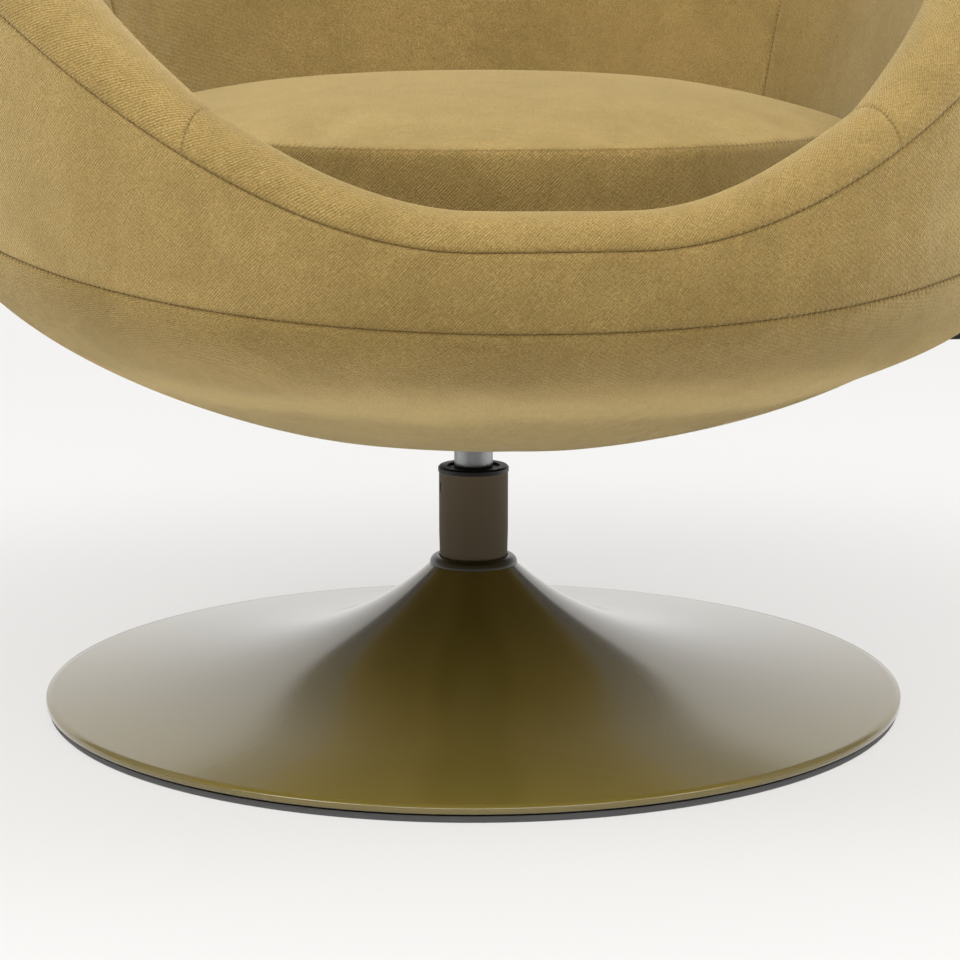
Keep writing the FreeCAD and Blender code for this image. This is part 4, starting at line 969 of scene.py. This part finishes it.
def stitch_place(azimuth, seam_at):
    """Where a stitch lies across a seam, its direction and the way out."""
    radius, height = seam_at(azimuth)
    out = Vector(spot(azimuth, 1.0, 0.0))
    ahead = Vector(spot(azimuth + 0.01, *seam_at(azimuth + 0.01)))
    behind = Vector(spot(azimuth - 0.01, *seam_at(azimuth - 0.01)))
    along = (ahead - behind).normalized()
    up = out.cross(along).normalized()
    if up.z < 0:
        up = -up
    across = (up + along * STITCH_TILT).normalized()
    return Vector(spot(azimuth, radius - STITCH_DEPTH, height)), across, out


def stitches(name, seam_at):
    """Short threads across a seam, one closed capsule each."""
    rings, around = 5, 6
    points, faces = [], []
    for azimuth in stitch_azimuths(seam_at):
        centre, across, out = stitch_place(azimuth, seam_at)
        side = across.cross(out).normalized()
        start = len(points)
        points.append(centre - across * STITCH_LENGTH / 2)
        for i in range(1, rings):
            turn = math.pi * i / rings
            middle = centre - across * (math.cos(turn) * STITCH_LENGTH / 2)
            reach = math.sin(turn) * STITCH_THICKNESS / 2
            for j in range(around):
                angle = FULL_TURN * j / around
                points.append(middle + (out * math.sin(angle) + side * math.cos(angle)) * reach)
        points.append(centre + across * STITCH_LENGTH / 2)
        end = len(points) - 1
        last = start + 1 + (rings - 2) * around
        for j in range(around):
            after = (j + 1) % around
            faces.append((start, start + 1 + after, start + 1 + j))
            faces.append((end, last + j, last + after))
            for i in range(rings - 2):
                row = start + 1 + i * around
                faces.append((row + j, row + after, row + around + after, row + around + j))
    mesh = new_mesh(name, [tuple(point) for point in points], faces)
    face_outwards(mesh)
    smooth(mesh)
    piece = add_piece(name, mesh, THREAD)
    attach(piece, "seat")


for name, seam_at in (("lower_seam_thread", lower_seam), ("upper_seam_thread", upper_seam)):
    stitches(name, seam_at)


# Base

RIM_RADIUS, RIM_HEIGHT, RIM_ROUND = 0.310, 0.0107, 0.0012
NECK_RADIUS, NECK_HEIGHT = 0.0317, 0.0979
GAUGE = 0.004


def flare_height(radius):
    """Height of the trumpet's outer face at a radius."""
    u = (radius - NECK_RADIUS) / (RIM_RADIUS - NECK_RADIUS)
    curve = 0.45 * (1 - u) + 0.55 * (1 - u) ** 4.5
    return RIM_HEIGHT + (NECK_HEIGHT - RIM_HEIGHT) * curve


def trumpet_outline():
    """Spun sheet with a rounded edge at its rim and at its neck."""
    steps, nudge = 96, 1e-5
    outer, under = [], []
    for i in range(steps + 1):
        radius = NECK_RADIUS + (RIM_RADIUS - RIM_ROUND - NECK_RADIUS) * (i / steps) ** 1.5
        behind = nudge if i else 0.0
        slope = (flare_height(radius + nudge) - flare_height(radius - behind)) / (nudge + behind)
        tilt = math.hypot(1, slope)
        outer.append((radius, flare_height(radius)))
        under.append((radius + GAUGE * slope / tilt, flare_height(radius) - GAUGE / tilt))
    edge = []
    for i in range(1, 9):
        turn = math.pi / 2 * i / 9
        radius = RIM_RADIUS - RIM_ROUND + RIM_ROUND * math.sin(turn)
        edge.append((radius, RIM_HEIGHT - RIM_ROUND * (1 - math.cos(turn))))
    low = RIM_HEIGHT - GAUGE - 0.0004
    edge += [(RIM_RADIUS, RIM_HEIGHT - 0.002), (RIM_RADIUS, low + 0.0004), (RIM_RADIUS - 0.0004, low)]
    under[-1] = (under[-1][0], low)
    neck = [(NECK_RADIUS - 0.0006, NECK_HEIGHT - 0.0001)]
    neck.append((NECK_RADIUS - GAUGE * 0.8, NECK_HEIGHT - 0.0006))
    return outer + edge + under[::-1] + neck[::-1]


trumpet = add_piece("trumpet_disc", turned_mesh("trumpet_disc", trumpet_outline(), 256), TRUMPET)
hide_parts("base_shell")
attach(trumpet, "base")


# Studio

PALE = colour(245, 244, 242)


def make_backdrop():
    """Pale floor that sweeps up into a wall behind the chair."""
    front, wall, wall_top, side = -8.0, 4.5, 2.55, 9.0
    steps, radius = 24, 1.2
    line = [(front, 0.0), (wall - radius, 0.0)]
    for i in range(1, steps + 1):
        turn = math.pi / 2 * i / steps
        line.append((wall - radius + radius * math.sin(turn), radius * (1 - math.cos(turn))))
    line.append((wall, wall_top))
    points = [(x, y, z) for y, z in line for x in (-side, side)]
    faces = [(2 * i, 2 * i + 1, 2 * i + 3, 2 * i + 2) for i in range(len(line) - 1)]
    mesh = new_mesh("backdrop", points, faces)
    smooth(mesh)
    n = MaterialNodes("backdrop")
    n.set(Base_Color=colour(229, 228, 226), Roughness=0.9, Specular_IOR_Level=0.1)
    rays = n.node("LightPath").outputs
    glow = n.node("Emission")
    away = n.node("VectorMath", operation="LENGTH")
    n.link(n.node("TexCoord").outputs["Object"], away.inputs[0])
    away = away.outputs["Value"]
    # The glow is darker within about a metre of the chair's axis: a painted shadow round the base.
    n.link(n.mix(n.ranged(away, 0.45, 0.95), colour(234, 232, 230), PALE), glow.inputs["Color"])
    share = n.math("MULTIPLY", rays["Is Camera Ray"], n.ranged(away, 1.0, 3.2, 0.78, 1.0))
    share = n.math("MAXIMUM", share, rays["Is Glossy Ray"])
    surface = n.mix_shader(share, n.shader.outputs[0], glow.outputs[0])
    n.link(surface, n.tree.nodes["Material Output"].inputs["Surface"])
    piece = add_piece("backdrop", mesh, n.material)


make_backdrop()


def area_light(name, place, target, size, power):
    lamp = bpy.data.lights.new(name, "AREA")
    lamp.shape = "RECTANGLE"
    lamp.size, lamp.size_y = size
    lamp.energy = power
    holder = add_object(name, lamp)
    holder.visible_camera = False
    holder.location = place
    holder.rotation_euler = (Vector(target) - Vector(place)).to_track_quat("-Z", "Y").to_euler()


area_light("front_softbox", (0.0, -2.5, 2.2), (0.0, 0.0, 0.2), (3.0, 1.5), 54.0)
area_light("top_softbox", (0.0, -0.4, 3.0), (0.0, -0.3, 0.0), (3.0, 3.0), 62.0)
area_light("left_softbox", (-2.0, -0.9, 3.1), (0.0, 0.0, 0.3), (1.6, 1.4), 56.0)
area_light("right_softbox", (2.0, -0.8, 3.1), (0.0, 0.0, 0.3), (1.6, 1.4), 38.0)
area_light("front_reflector", (0.0, -1.2, 0.02), (0.0, -1.2, 1.0), (2.4, 0.9), 1.7)
area_light("left_reflector", (-1.15, -0.2, 0.02), (-1.15, -0.2, 1.0), (1.0, 1.6), 9.0)
area_light("right_reflector", (1.15, -0.2, 0.02), (1.15, -0.2, 1.0), (1.0, 1.6), 9.0)


def make_world():
    """Pale studio all round, dark low in front of the chair and dimmer above the wall behind it."""
    world = bpy.data.worlds.new("studio")
    bpy.context.scene.world = world
    n = Nodes(world)
    _, back, up = n.parts(n.node("TexCoord").outputs["Generated"])
    front = n.math("MULTIPLY", n.ranged(back, 0.45, -0.15), n.ranged(up, 0.6, 0.3))
    behind = n.math("MULTIPLY", n.ranged(back, 0.3, 0.6), n.ranged(up, 0.8, 0.6))
    strength = n.math("MULTIPLY_ADD", front, -0.48, 0.52)
    strength = n.math("MULTIPLY_ADD", behind, -0.3, strength)
    light = n.tree.nodes["Background"]
    light.inputs["Color"].default_value = (0.95, 0.96, 1.0, 1.0)
    n.link(strength, light.inputs["Strength"])
    seen = n.node("Background")
    seen.inputs["Color"].default_value = PALE
    rays = n.node("LightPath").outputs
    surface = n.mix_shader(rays["Is Camera Ray"], light.outputs[0], seen.outputs[0])
    n.link(surface, n.tree.nodes["World Output"].inputs["Surface"])


make_world()

CAMERA_PLACE = (-0.2217, -1.887, 0.5206)
CAMERA_LENS, SENSOR_WIDTH = 100.2, 36.0
CAMERA_DIP, CAMERA_TURN = math.radians(10.78), math.radians(0.1415)

camera_data = bpy.data.cameras.new("camera")
camera_data.lens, camera_data.sensor_width = CAMERA_LENS, SENSOR_WIDTH
camera_data.clip_start, camera_data.clip_end = 0.05, 60.0
camera = add_object("camera", camera_data)
camera.location = CAMERA_PLACE
heading = math.atan2(-CAMERA_PLACE[0], -CAMERA_PLACE[1]) + CAMERA_TURN
camera.rotation_euler = (math.pi / 2 - CAMERA_DIP, 0.0, -heading)
bpy.context.scene.camera = camera

bpy.context.scene.view_settings.view_transform = "Standard"
